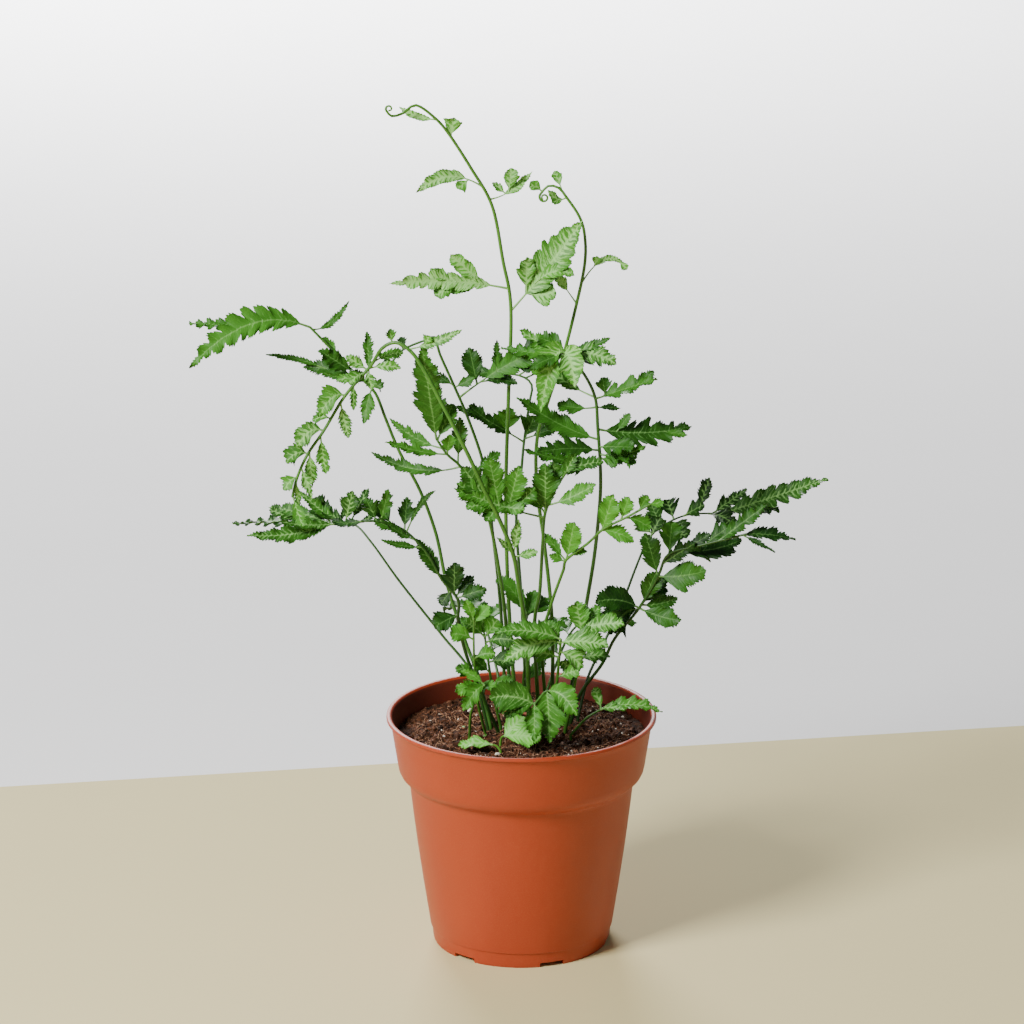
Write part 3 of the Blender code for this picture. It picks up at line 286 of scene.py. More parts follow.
            Leaf(5.3, (17, -4, 4), 8.5, bow=-2, face=50, stalk=0.1, cut=0.45, tone=Tone.GREEN, side=(
                Leaf(0.5, (5, -2, -3), 6.5, face=50, cut=0.3),)),
            Leaf(5.7, (-31, -7, 19), 11, bow=-2, face=54, stalk=0.1, cut=0.3),
            Leaf(5.4, (-24, -9, 1), 10, bow=1, face=46, stalk=0.1, cut=0.45),
            Leaf(5.1, (-24, -5, -1), 9, bow=-1, face=46, stalk=0.1, cut=0.45),
            Leaf(6.7, (-15, 4, 0), 9, bow=-1, face=46, stalk=0.3, cut=0.4),
            Leaf(6.7, (9, -1, 0), 3.5, face=46, cut=0.4),
            Leaf(5.0, (-29, -3, 6), 9, bow=-1, face=46, stalk=0.1, cut=0.5),
            Leaf(5.2, (9, -4, 1), 8.5, bow=-1, face=50, stalk=0.1, cut=0.4),
            Leaf(5.5, (13, -6, 1), 10, face=50, stalk=0.08, cut=0.4),
            Leaf(9.9, (-24, 3, 2), 7, bow=-1, face=50, stalk=0.06, cut=0.45),
            Leaf(9.6, (-14, -3, -5), 8, bow=1, face=54, stalk=0.1, cut=0.4),
        ),
    ),
    Frond(
        "frond_centre_front", Tone.MIXED, 0.8, -2, 0.5,
        ((7, -3, 87), (5, -8, 129), (7, -11, 145), (8, -13, 164), (9, -14, 177), (13, -15, 187), (17, -16, 194)),
        (
            Leaf(4.0, (0, -1, 20), 12, face=66, stalk=0.08, cut=0.25),
            Leaf(4.0, (-7, 1, 10), 8, face=62, stalk=0.15, cut=0.2),
            Leaf(4.3, (18, -3, 9), 9, bow=-1, face=56, stalk=0.22, cut=0.25),
            Leaf(6.0, (14, -1, 4), 7, bow=1, face=50, stalk=0.05, cut=0.4),
            Leaf(5.6, (5, 2, 9), 6, face=56, cut=0.35),
            Leaf(5.0, (-1, -1, 11), 7, face=60, cut=0.35),
            Leaf(3.85, (-34, -3, 12), 8, bow=-1, face=52, stalk=0.22, cut=0.3, side=(
                Leaf(0.4, (4, -1, 17), 10.5, face=72, stalk=0.04, cut=0.2),
                Leaf(0.5, (-4, 0, 19), 11, face=72, stalk=0.04, cut=0.2),
                Leaf(0.62, (-10, 0, 14), 11, face=70, stalk=0.04, cut=0.2),
                Leaf(0.6, (-9, -4, -1), 9, face=58, stalk=0.04, cut=0.2),
                Leaf(0.34, (8, -1, 9), 8, face=66, stalk=0.04, cut=0.2),
                Leaf(0.68, (-10, -2, 7), 9.5, face=66, stalk=0.04, cut=0.2),
                Leaf(0.45, (8, -4, 0), 7, face=58, stalk=0.04, cut=0.25),
                Leaf(0.5, (-5, -5, -5), 8, face=60, stalk=0.04, cut=0.2))),
        ),
    ),
    Frond(
        "frond_light_right", Tone.LIGHT, 0.7, 8, 0.8,
        ((10, 2, 87), (8, -6, 122), (11, -12, 139), (16, -18, 156), (17, -19, 160), (25, -21, 167), (31, -22, 173), (40, -23, 178), (48, -24, 183)),
        (
            Leaf(4.0, (3, -1, 15), 10, face=66, stalk=0.12, cut=0.15),
            Leaf(3.9, (-8, 0, 11), 5, face=62, stalk=0.2, cut=0.2),
            Leaf(3.8, (-6, -1, 3), 4.5, face=60, cut=0.2),
            Leaf(4.15, (7, -2, 3), 4, bow=1, face=60, cut=0.15),
            Leaf(5.9, (4, 0, 14), 10, face=66, stalk=0.06, cut=0.12),
            Leaf(5.9, (12, -2, -4), 7, bow=1, face=62, stalk=0.06, cut=0.12),
            Leaf(6.7, (3, 0, 9), 7, face=66, cut=0.1),
            Leaf(6.9, (9, -1, -4), 7, bow=1, face=62, cut=0.12),
            Leaf(7.5, (3, 0, 6), 5, face=66, cut=0.1),
            Leaf(8.0, (5, 0, 1), 5, face=66, stalk=0.05, cut=0.1),
        ),
    ),
    Frond(
        "frond_right_far", Tone.FROSTED, 0.6, -16, 1.0,
        ((22, 9, 87), (26, 14, 102), (31, 18, 112), (39, 24, 128), (45, 28, 143), (49, 30, 152), (54, 31, 158), (65, 33, 163), (80, 36, 163)),
        (
            Leaf(8.0, (40, 7, 11), 13.5, bow=0, face=40, stalk=0.04, cut=0.5, side=(
                Leaf(0.12, (17, -3, 0), 8.5, bow=1, face=40, cut=0.45),
                Leaf(0.3, (7, 2, 6), 4, face=50, cut=0.3))),
            Leaf(7.3, (5, 0, 15), 7, face=60, stalk=0.25, cut=0.3),
            Leaf(7.6, (10, -6, -3), 9, bow=1, face=36, cut=0.4),
            Leaf(6.6, (-3, 1, 8), 10, face=56, cut=0.35),
            Leaf(6.2, (9, -5, -4), 10.5, bow=1, face=46, cut=0.35),
            Leaf(5.6, (-6, 1, 5), 9, face=50, cut=0.35),
            Leaf(5.4, (4, 6, 6), 10, face=34, cut=0.4),
            Leaf(7.7, (14, 4, 9), 8, face=50, stalk=0.1, cut=0.5),
            Leaf(6.9, (8, -2, 5), 8.5, face=50, cut=0.4),
            Leaf(6.1, (-4, 3, 9), 8, face=56, cut=0.4),
        ),
    ),
    Frond(
        "frond_right_low", Tone.DEEP, 0.75, 14, 0.9,
        ((19, 3, 87), (23, 1, 100), (31, 0, 112), (36, -1, 123), (45, -4, 136), (52, -5, 149), (56, -6, 158), (68, -8, 162), (85, -10, 167)),
        (
            Leaf(4.0, (-17, -3, 3), 13, bow=2, face=50, stalk=0.08, cut=0.2),
            Leaf(3.95, (-11, -6, -8), 15, bow=3, face=62, stalk=0.06, cut=0.2),
            Leaf(4.0, (16, -3, -4), 9.5, bow=-1, face=62, stalk=0.12, cut=0.2),
            Leaf(4.1, (14, 0, 3), 8, bow=-1, face=62, stalk=0.12, cut=0.2),
            Leaf(4.2, (5, 1, 12), 9, face=66, stalk=0.05, cut=0.2),
            Leaf(5.0, (-5, 1, 17), 10, face=66, stalk=0.12, cut=0.25),
            Leaf(5.0, (18, -3, 3), 13, bow=-1, face=60, stalk=0.1, cut=0.2),
            Leaf(6.1, (15, -2, -3), 4.5, bow=3, face=50, cut=0.35),
            Leaf(6.0, (1, 6, 11), 11, face=56, stalk=0.1, cut=0.3),
            Leaf(6.4, (24, 1, 4), 12, bow=-2, face=40, stalk=0.05, cut=0.5),
            Leaf(7.1, (9, 6, 5), 9, face=34, cut=0.4),
            Leaf(7.9, (20, -3, -1), 7, bow=1, face=46, stalk=0.05, cut=0.3),
            Leaf(7.4, (18, 4, 13), 8, face=44, stalk=0.05, cut=0.5),
            Leaf(4.15, (10, 2, 10), 8.5, face=62, stalk=0.08, cut=0.25),
            Leaf(7.9, (12, -3, -6), 3, face=50, cut=0.3),
            Leaf(6.6, (9, -4, 7), 8, face=56, cut=0.4),
            Leaf(5.5, (12, -3, 9), 8.5, face=60, stalk=0.08, cut=0.4),
        ),
    ),
    Frond(
        "frond_left_far", Tone.FROSTED, 0.6, -14, 1.0,
        ((-13, -3, 87), (-19, 0, 108), (-31, 4, 123), (-47, 8, 143), (-58, 11, 158), (-65, 13, 165), (-74, 14, 165)),
        (
            Leaf(6.0, (-32, 0, -5), 9, bow=-2, face=50, stalk=0.04, cut=0.3),
            Leaf(5.8, (-42, 9, -2), 9, bow=1, face=30, stalk=0.04, cut=0.5, side=(
                Leaf(0.3, (-14, 3, 4), 6.5, face=40, cut=0.4),)),
            Leaf(6.0, (-7, 5, 9), 10.5, face=56, stalk=0.15, cut=0.4),
            Leaf(5.7, (4, 5, 10), 3, bow=-1, face=50, cut=0.3),
            Leaf(5.4, (3, 3, 12), 9, face=56, stalk=0.15, cut=0.4),
            Leaf(5.0, (15, 4, 11), 3.5, bow=-2, face=50, cut=0.4),
            Leaf(5.4, (-9, 9, 2), 8.5, face=30, cut=0.4),
            Leaf(6.0, (-25, 4, 6), 8, bow=1, face=46, cut=0.5),
            Leaf(5.6, (-16, 6, 11), 6.5, bow=-1, face=50, cut=0.5),
            Leaf(5.2, (7, 5, 13), 7, face=56, stalk=0.2, cut=0.5),
            Leaf(5.9, (-21, -4, 2), 6, bow=-1, face=56, stalk=0.05, cut=0.4),
        ),
    ),
    Frond(
        "frond_left_low", Tone.DEEP, 0.75, 10, 0.9,
        ((-9, -7, 87), (-16, -12, 106), (-21, -16, 121), (-24, -18, 135), (-24, -19, 144), (-30, -19, 152), (-36, -19, 163),
         (-44, -18, 171), (-52, -17, 174), (-60, -16, 174)),
        (
            Leaf(4.3, (0, 1, 12), 10.5, face=66, stalk=0.06, cut=0.25),
            Leaf(4.2, (7, 0, 8), 7, face=60, stalk=0.1, cut=0.25),
            Leaf(4.1, (11, -1, 4), 8, face=56, stalk=0.15, cut=0.25),
            Leaf(4.5, (-4, -2, -5), 7, face=62, cut=0.2),
            Leaf(3.3, (-9, -3, -4), 10, face=62, stalk=0.08, cut=0.2),
            Leaf(5.1, (-9, -2, 16), 7.5, face=60, stalk=0.05, cut=0.25),
            Leaf(6.2, (-15, -1, 3), 4, bow=-1, face=56, cut=0.4),
            Leaf(7.0, (1, 1, 13), 7, face=60, stalk=0.15, cut=0.4),
            Leaf(6.9, (11, 0, 16), 3, bow=3, face=60, cut=0.4),
            Leaf(7.6, (-6, 3, 7), 10, face=44, cut=0.4),
            Leaf(8.3, (-4, 3, 8), 8, face=50, cut=0.4),
            Leaf(9.0, (-12, 1, 0), 5, bow=-1, face=44, stalk=0.03, cut=0.4),
            Leaf(8.1, (3, 2, 12), 6.5, face=54, cut=0.5),
            Leaf(7.3, (-9, -3, 4), 6, bow=-1, face=56, cut=0.4),
            Leaf(6.5, (-13, -2, 9), 4.5, bow=-1, face=56, cut=0.5),
        ),
    ),
    Frond(
        "frond_low_young", Tone.LIGHT, 0.6, 4, 0.5,
        ((-14, -8, 87), (-17, -16, 104), (-18, -21, 123), (-18, -24, 138)),
        (
            Leaf(3.0, (-3, -1, 8), 6, face=66, stalk=0.08, cut=0.06),
            Leaf(2.9, (6, -1, 7), 6, face=60, stalk=0.08, cut=0.06),
            Leaf(2.4, (-9, -3, 3), 9, bow=1, face=62, cut=0.2),
            Leaf(1.9, (8, -4, 3), 8, bow=1, face=50, cut=0.2),
            Leaf(1.2, (8, -5, 2), 7, bow=1, face=44, cut=0.25),
            Leaf(1.5, (-7, -3, 5), 7, face=60, cut=0.3),
        ),
    ),
    Frond(
        "frond_low_left", Tone.MIXED, 0.65, 2, 0.5,
        ((-8, -1, 87), (-11, -5, 103), (-13, -8, 118), (-14, -9, 126)),
        (
            Leaf(3.0, (-8, -1, 6), 9, bow=1, face=50, cut=0.25),
            Leaf(3.0, (5, -2, 8), 9.5, face=60, cut=0.25),
            Leaf(2.7, (11, -4, 2), 10, bow=1, face=50, cut=0.25),
            Leaf(1.8, (10, -6, 1), 9.5, bow=1, face=48, cut=0.25),
            Leaf(1.2, (8, -6, 1), 8, bow=1, face=46, cut=0.25),
            Leaf(2.9, (-2, 2, 13), 8, face=60, cut=0.35),
            Leaf(1.5, (-7, -2, 7), 7, face=56, cut=0.35),
            Leaf(0.8, (7, -3, 6), 6, face=56, cut=0.3),
        ),
    ),
    Frond(
        "frond_low_back", Tone.GREEN, 0.65, -2, 0.3,
        ((0, 10, 87), (1, 9, 105), (2, 6, 120), (2, 5, 131)),
        (
            Leaf(3.0, (-12, 4, 12), 9, bow=3, face=50, stalk=0.06, cut=0.3),
            Leaf(2.9, (8, 8, 5), 9.5, face=40, cut=0.35),
            Leaf(2.8, (3, 8, 9), 9.5, face=46, cut=0.35),
            Leaf(2.0, (16, 5, 4), 9, bow=2, face=40, cut=0.35),
            Leaf(1.6, (9, 11, 3), 9, bow=2, face=36, cut=0.35),
            Leaf(0.8, (9, 4, 8), 6.5, face=50, cut=0.35),
        ),
    ),
    Frond(
        "frond_back_right", Tone.GREEN, 0.65, -6, 0.3,
        ((8, 22, 87), (13, 30, 100), (19, 37, 112), (26, 42, 118)),
        (
            Leaf(3.0, (20, 7, -5), 10.5, bow=1, face=14, stalk=0.05, cut=0.4),
            Leaf(2.7, (5, 14, 1), 10, face=4, cut=0.35),
            Leaf(2.6, (13, -7, 1), 8.5, face=30, cut=0.35),
            Leaf(2.0, (-6, 14, 3), 10, face=0, cut=0.35),
            Leaf(1.4, (-7, 11, 1), 9, face=0, cut=0.3),
        ),
    ),
    Frond(
        "frond_back_left", Tone.GREEN, 0.65, -6, 0.3,
        ((-7, 19, 87), (-10, 28, 102), (-14, 35, 115), (-20, 39, 123)),
        (
            Leaf(3.0, (-11, 7, -4), 10, bow=1, face=14, stalk=0.05, cut=0.4),
            Leaf(2.7, (0, 15, 2), 10, face=4, cut=0.35),
            Leaf(2.2, (8, 13, 4), 10, face=0, cut=0.35),
            Leaf(2.0, (-12, 3, 2), 8.5, face=20, cut=0.35),
            Leaf(1.4, (5, 12, 1), 9, face=0, cut=0.3),
        ),
    ),
    Frond(
        "frond_low_front", Tone.PALE, 0.75, 5, 0.7,
        ((13, -8, 87), (13, -12, 100), (14, -16, 115), (15, -18, 128)),
        (
            Leaf(3.0, (-25, 1, 2), 10, bow=2, face=50, stalk=0.05, cut=0.25),
            Leaf(2.9, (-22, -4, -7), 11.5, bow=3, face=58, stalk=0.05, cut=0.25),
            Leaf(2.9, (18, -2, -1), 11.5, bow=1, face=46, stalk=0.05, cut=0.25),
            Leaf(2.6, (9, -4, -5), 9, bow=1, face=50, stalk=0.1, cut=0.25),
            Leaf(2.8, (-6, 5, 8), 9.5, face=46, stalk=0.1, cut=0.3),
            Leaf(2.4, (-14, -3, 3), 8, bow=1, face=56, stalk=0.1, cut=0.3),
            Leaf(1.8, (9, -2, 4), 7, face=56, cut=0.3),
        ),
    ),
    Frond(
        "frond_low_right", Tone.PALE, 0.75, 5, 0.7,
        ((17, -4, 87), (20, -6, 103), (22, -8, 118), (23, -9, 129)),
        (
            Leaf(3.0, (16, -3, 3), 10, bow=1, face=54, stalk=0.05, cut=0.3),
            Leaf(2.9, (9, -4, -5), 7.5, bow=1, face=56, cut=0.25),
            Leaf(2.9, (-2, 1, 12), 10, face=66, stalk=0.05, cut=0.25),
            Leaf(3.0, (7, 2, 9), 8, face=56, cut=0.3),
            Leaf(1.9, (12, -1, 1), 9, bow=1, face=44, cut=0.3),
            Leaf(2.6, (7, 5, 7), 8, face=60, stalk=0.08, cut=0.3),
            Leaf(1.5, (-6, -3, 6), 6.5, face=60, cut=0.3),
        ),
    ),
    Frond(
        "frond_front", Tone.MIXED, 0.75, 0, 0.3,
        ((8, -12, 87), (12, -18, 100), (10, -23, 109), (5, -27, 105)),
        (
            Leaf(3.0, (-17, -2, 3), 14, bow=2, face=60, stalk=0.03, cut=0.2),
            Leaf(2.95, (-11, -5, -4), 9.5, bow=2, face=56, stalk=0.04, cut=0.2),
            Leaf(3.0, (0, -5, -13), 8, bow=2, face=66, stalk=0.05, cut=0.25),
            Leaf(2.1, (1, -8, -18), 12.5, bow=3, face=64, stalk=0.04, cut=0.2),
            Leaf(1.95, (11, -8, -7), 11.5, bow=3, face=60, stalk=0.04, cut=0.2),
        ),
    ),
    Frond(
        "sprout_pale", Tone.BRIGHT, 0.55, 0, 0,
        ((-8, -20, 87), (-7.5, -21.5, 89.8), (-6.5, -23, 90.8)),
        (
            Leaf(2.0, (14, -4, 0.5), 12, bow=0.6, face=34, stalk=0.03, cut=0.15),
            Leaf(1.9, (8, 5, 6), 10, bow=0.8, face=40, stalk=0.03, cut=0.15),
        ),
    ),
    Frond(
        "sprout_small", Tone.BRIGHT, 0.55, 0, 0,
        ((-8, -27, 86.4), (-9.5, -27, 88.2), (-11, -27.2, 88.8)),
        (
            Leaf(2.0, (-13, -0.5, -0.4), 8, bow=0.8, face=22, stalk=0.05, cut=0.25),
        ),
    ),
    Frond(
        "sprout_rim", Tone.PALE, 0.6, 0, 0,
        ((19, -11, 87), (25, -11.5, 94), (31, -12, 98)),
        (
            Leaf(2.0, (23, -4, 0), 7.5, bow=2.2, face=36, stalk=0.03, cut=0.3),
            Leaf(1.95, (-3, 3, 7.5), 5.5, bow=1, face=50, stalk=0.1, cut=0.2),
            Leaf(1.9, (9, -5, 1.5), 5.5, bow=1, face=40, stalk=0.1, cut=0.2),
        ),
    ),
    Frond(
        "sprout_left", Tone.LIGHT, 0.6, 0, 0.3,
        ((-20, -12, 86), (-19, -19, 100), (-14, -25, 112)),
        (
            Leaf(2.0, (-8, -4, -9), 9, bow=2, face=66, stalk=0.05, cut=0.3),
            Leaf(2.0, (-9, -1, 6), 4.5, bow=1, face=60, cut=0.25),
            Leaf(1.95, (-11, -3, -1), 7, bow=1, face=60, cut=0.3),
        ),
    ),
)


# Stems that end in a coil: the coil's radius, its turns, and 1 where it winds clockwise in the photo
COILS = {
    "frond_tall_left": (1.35, 0.95, 1),
    "frond_tall_right": (1.8, 1.3, -1),
    "frond_kinked": (1.4, 0.8, -1),
}


class Signal:
    """A number in a shader. Python's operators add the Math nodes."""

    def __init__(self, sheet: "ShaderSheet", socket: bpy.types.NodeSocket) -> None:
        """Wraps an output socket of the sheet's tree."""
        self.sheet = sheet
        self.socket = socket

    def math(self, operation: str, *others: "Signal | float", clamp: bool = False) -> "Signal":
        """Adds a Math node.

        Args:
            operation: the node's operation.
            others: the further operands.
            clamp: whether the result is kept from 0 to 1.

        Returns:
            The node's result.
        """
        settings = {"operation": operation, "use_clamp": clamp}
        inputs = dict(enumerate((self, *others)))
        return self.sheet.signal("ShaderNodeMath", settings, inputs)

    def __add__(self, other: "Signal | float") -> "Signal":
        """self + other."""
        return self.math("ADD", other)

    __radd__ = __add__

    def __mul__(self, other: "Signal | float") -> "Signal":
        """self * other."""
        return self.math("MULTIPLY", other)

    __rmul__ = __mul__

    def __sub__(self, other: "Signal | float") -> "Signal":
        """self - other."""
        return self.math("SUBTRACT", other)

    def __rsub__(self, other: float) -> "Signal":
        """other - self."""
        return self.math("MULTIPLY_ADD", -1.0, other)

    def __pow__(self, other: "Signal | float") -> "Signal":
        """self ** other."""
        return self.math("POWER", other)

    def __abs__(self) -> "Signal":
        """The size of self."""
        return self.math("ABSOLUTE")

    def clamped(self) -> "Signal":
        """self, kept from 0 to 1."""
        return self.math("ADD", 0.0, clamp=True)

    def ping_pong(self) -> "Signal":
        """The distance of self from the nearest whole number, from 0 to 0.5."""
        return self.math("PINGPONG", 0.5)

    def ramp(self, low: float, high: float) -> "Signal":
        """A smooth step of self.

        Args:
            low: where the step is 0.
            high: where the step is 1. It may be below low.

        Returns:
            A value from 0 to 1.
        """
        inputs = {"Value": self, "From Min": low, "From Max": high}
        return self.sheet.signal("ShaderNodeMapRange", {"interpolation_type": "SMOOTHSTEP"}, inputs)


class ShaderSheet:
    """One material's node tree."""

    def __init__(self, name: str) -> None:
        """Starts a material with a Principled shader."""
        self.material = bpy.data.materials.new(name)
        self.material.use_nodes = True
        self.tree = self.material.node_tree
        self.shader = self.tree.nodes["Principled BSDF"]

    def node(self, kind: str, settings: dict | None = None, inputs: dict | None = None) -> bpy.types.Node:
        """Adds a node.

        Args:
            kind: the node's type.
            settings: properties that are set first.
            inputs: a value, a Signal or an output socket for each input socket's name or number.

        Returns:
            The node.
        """
        node = self.tree.nodes.new(kind)
        for key, value in (settings or {}).items():
            setattr(node, key, value)
        for key, value in (inputs or {}).items():
            self.feed(node.inputs[key], value)
        return node

    def feed(self, socket: bpy.types.NodeSocket, value: "Signal | bpy.types.NodeSocket | float | Sequence") -> None:
        """Gives an input socket a link or a value."""
        if isinstance(value, Signal):
            value = value.socket
        if isinstance(value, bpy.types.NodeSocket):
            self.tree.links.new(value, socket)
        else:
            socket.default_value = value

    def signal(self, kind: str, settings: dict | None, inputs: dict | None, output: str | int = 0) -> Signal:
        """Adds a node and wraps one of its outputs."""
        return Signal(self, self.node(kind, settings, inputs).outputs[output])

    def place(self, stretch: Sequence = (1, 1, 1)) -> bpy.types.NodeSocket:
        """The point on the object in metres, times a stretch for each axis."""
        point = self.node("ShaderNodeTexCoord").outputs["Object"]
        inputs = {0: point, 1: tuple(stretch)}
        return self.node("ShaderNodeVectorMath", {"operation": "MULTIPLY"}, inputs).outputs[0]

    def noise(self, scale: float, detail: float = 3.0, stretch: Sequence = (1, 1, 1)) -> Signal:
        """Fractal noise over the object.

        Args:
            scale: lumps a metre.
            detail: how many finer layers it has.
            stretch: a factor for each axis.

        Returns:
            A value around 0.5.
        """
        inputs = {"Vector": self.place(stretch), "Scale": scale, "Detail": detail}
        return self.signal("ShaderNodeTexNoise", None, inputs)

    def streaks(self, *axes: Signal) -> Signal:
        """Fractal noise over up to three numbers that the mesh holds, around 0.5."""
        vector = self.node("ShaderNodeCombineXYZ", None, dict(enumerate(axes))).outputs[0]
        return self.signal("ShaderNodeTexNoise", None, {"Vector": vector, "Scale": 1.0, "Detail": 4.0})

    def cells(self, scale: float) -> Signal:
        """The distance from the nearest of a scatter of points, scale of them a metre."""
        inputs = {"Vector": self.place(), "Scale": scale}
        return self.signal("ShaderNodeTexVoronoi", None, inputs)

    def attribute(self, name: str) -> tuple[Signal, Signal, Signal]:
        """The three numbers that the mesh stores under a name."""
        vector = self.node("ShaderNodeAttribute", {"attribute_name": name}).outputs["Vector"]
        parts = self.node("ShaderNodeSeparateXYZ", None, {0: vector})
        return tuple(Signal(self, socket) for socket in parts.outputs)

    def mix(self, share: Signal | float, first: RGB | bpy.types.NodeSocket,
            second: RGB | bpy.types.NodeSocket) -> bpy.types.NodeSocket:
        """Mixes two colours.

        Args:
            share: how much of the second, from 0 to 1.
            first: a colour or a link.
            second: a colour or a link.

        Returns:
            The mixed colour's socket.
        """
        settings = {"data_type": "RGBA"}
        colours = [(*c, 1.0) if isinstance(c, tuple) else c for c in (first, second)]
        return self.node("ShaderNodeMix", settings, {0: share, 6: colours[0], 7: colours[1]}).outputs[2]

    def bump(self, height: Signal, distance: float, strength: float = 1.0) -> None:
        """Feeds the shader's normal from a height.

        Args:
            height: the height, where 1 stands for the distance.
            distance: that distance in metres.
            strength: how strongly it shows.
        """
        inputs = {"Height": height, "Distance": distance, "Strength": strength}
        self.feed(self.shader.inputs["Normal"], self.node("ShaderNodeBump", None, inputs).outputs[0])

    def dress(self, **sockets: "Signal | bpy.types.NodeSocket | float") -> bpy.types.Material:
        """Feeds the shader's sockets, named with _ for a space.

        Args:
            sockets: a value or link for each.

        Returns:
            The finished material.
        """
        for name, value in sockets.items():
            self.feed(self.shader.inputs[name.replace("_", " ").title().replace("Ior", "IOR")], value)
        return self.material


@dataclass(frozen=True)
class BladeGreen:
    """The upper side of a blade: green, with silver along its ribs and veins."""

    dark: RGB = (0.004, 0.034, 0.0012)
    light: RGB = (0.12, 0.47, 0.034)
    silver: RGB = (0.31, 0.62, 0.19)
    rib: RGB = (0.3, 0.62, 0.17)

    def material(self) -> bpy.types.Material:
        """Builds the material."""
        sheet = ShaderSheet("blade_green")
        across, along, vein = sheet.attribute("leaf_map")
        light, silver, ridge = sheet.attribute("leaf_tone")
        outwards = abs(across)
        wander = sheet.noise(260.0, 1.0)
        feather = sheet.noise(1300.0, 3.0)
        patches = sheet.noise(130.0, 2.0)
        phase = vein + wander * 1.2
        streak = sheet.streaks(outwards * 1.6, phase * 4.5, light * 60.0)
        gap = abs(phase.ping_pong() - outwards.ramp(0.2, 1.0) * 0.27)
        depth = light + (feather - 0.5) * 0.12 + (patches - 0.5) * 0.26 - outwards.ramp(0.75, 1.0) * 0.05
        green = sheet.mix((depth + (streak - 0.5) * 0.16).clamped(), self.dark, self.light)
        spread = silver - outwards * 0.62 - gap * (1.0 + outwards * 1.3) + (streak - 0.5) * 2.0 + (feather - 0.5) * 0.7
        silvered = sheet.mix(spread.ramp(-0.05, 0.6) * (0.42 + silver * 0.5), green, self.silver)
        line = outwards.ramp(0.08, 0.02) * (0.08 + silver * 0.7)
        fine = gap.ramp(0.05, 0.0) * outwards.ramp(0.9, 0.25) * silver * 0.4
        veined = sheet.mix((line + fine).clamped(), silvered, self.rib)
        sheet.bump(gap.ramp(0.0, 0.16) * 0.6 + feather * 0.4, 0.00012, 0.6)
        roughness = 0.5 + (patches - 0.5) * 0.25
        return sheet.dress(base_color=veined, roughness=roughness, specular_ior_level=0.24)


@dataclass(frozen=True)
class BladeUnder:
    """The lower side of a blade: paler and duller."""

    green: RGB = (0.02, 0.1, 0.008)
    pale: RGB = (0.2, 0.44, 0.1)

    def material(self) -> bpy.types.Material:
        """Builds the material."""
        sheet = ShaderSheet("blade_under")
        across, along, vein = sheet.attribute("leaf_map")
        light, silver, ridge = sheet.attribute("leaf_tone")
        gap = abs(vein.ping_pong() - abs(across).ramp(0.25, 1.0) * 0.27)
        veins = gap.ramp(0.08, 0.0) * 0.35 + abs(across).ramp(0.14, 0.03) * 0.5
        colour = sheet.mix((light * 0.7 + veins).clamped(), self.green, self.pale)
        sheet.bump(gap.ramp(0.12, 0.0), 0.00012, 0.7)
        return sheet.dress(base_color=colour, roughness=0.62, specular_ior_level=0.3)


@dataclass(frozen=True)
class StemGreen:
    """Stems, darker towards the soil and on the wiry ones, and midribs, which are paler."""

    dark: RGB = (0.008, 0.03, 0.005)
    green: RGB = (0.021, 0.092, 0.008)
    light: RGB = (0.12, 0.33, 0.038)
    rib: RGB = (0.26, 0.54, 0.15)

    def material(self) -> bpy.types.Material:
        """Builds the material."""
        sheet = ShaderSheet("stem_green")
        across, along, vein = sheet.attribute("leaf_map")
        light, silver, ridge = sheet.attribute("leaf_tone")
        streaks = sheet.noise(900.0, 3.0, (1, 1, 0.06))
        flesh = sheet.mix((light * 0.9 + (streaks - 0.5) * 0.8).clamped(), self.green, self.light)
        wiry = (along.ramp(0.3, 0.0) * 0.3 + light.ramp(0.3, 0.04) * 0.55).clamped()
        sheet.bump(streaks, 0.00012, 0.6)
        stem = sheet.mix(wiry, flesh, self.dark)
        colour = sheet.mix(ridge * (0.25 + silver * 0.6), stem, self.rib)
        return sheet.dress(base_color=colour, roughness=0.42, specular_ior_level=0.4)


@dataclass(frozen=True)
class TerracottaPlastic:
    """The pot: moulded plastic in terracotta, a little dusty."""

    name: str = "terracotta_plastic"
    body: RGB = (0.43, 0.049, 0.011)
    deep: RGB = (0.32, 0.031, 0.007)
    dust: RGB = (0.54, 0.15, 0.06)

    def material(self) -> bpy.types.Material:
        """Builds the material."""
        sheet = ShaderSheet(self.name)
        grain = sheet.noise(2600.0, 2.0)
        clouds = sheet.noise(38.0, 4.0)
        flow = sheet.noise(60.0, 3.0, (1, 1, 0.12))
        specks = sheet.cells(950.0).ramp(0.16, 0.05) * sheet.noise(170.0, 2.0).ramp(0.55, 0.72)
        body = sheet.mix((clouds * 0.6 + flow * 0.5 - 0.15).clamped(), self.deep, self.body)
        grained = sheet.mix((grain - 0.42).clamped() * 0.4, body, self.dust)
        sheet.bump(grain * 0.6 + flow * 0.4, 0.00008, 0.5)
        roughness = 0.4 + clouds * 0.16
        colour = sheet.mix(specks * 0.45, grained, self.dust)
        return sheet.dress(base_color=colour, roughness=roughness, specular_ior_level=0.5)


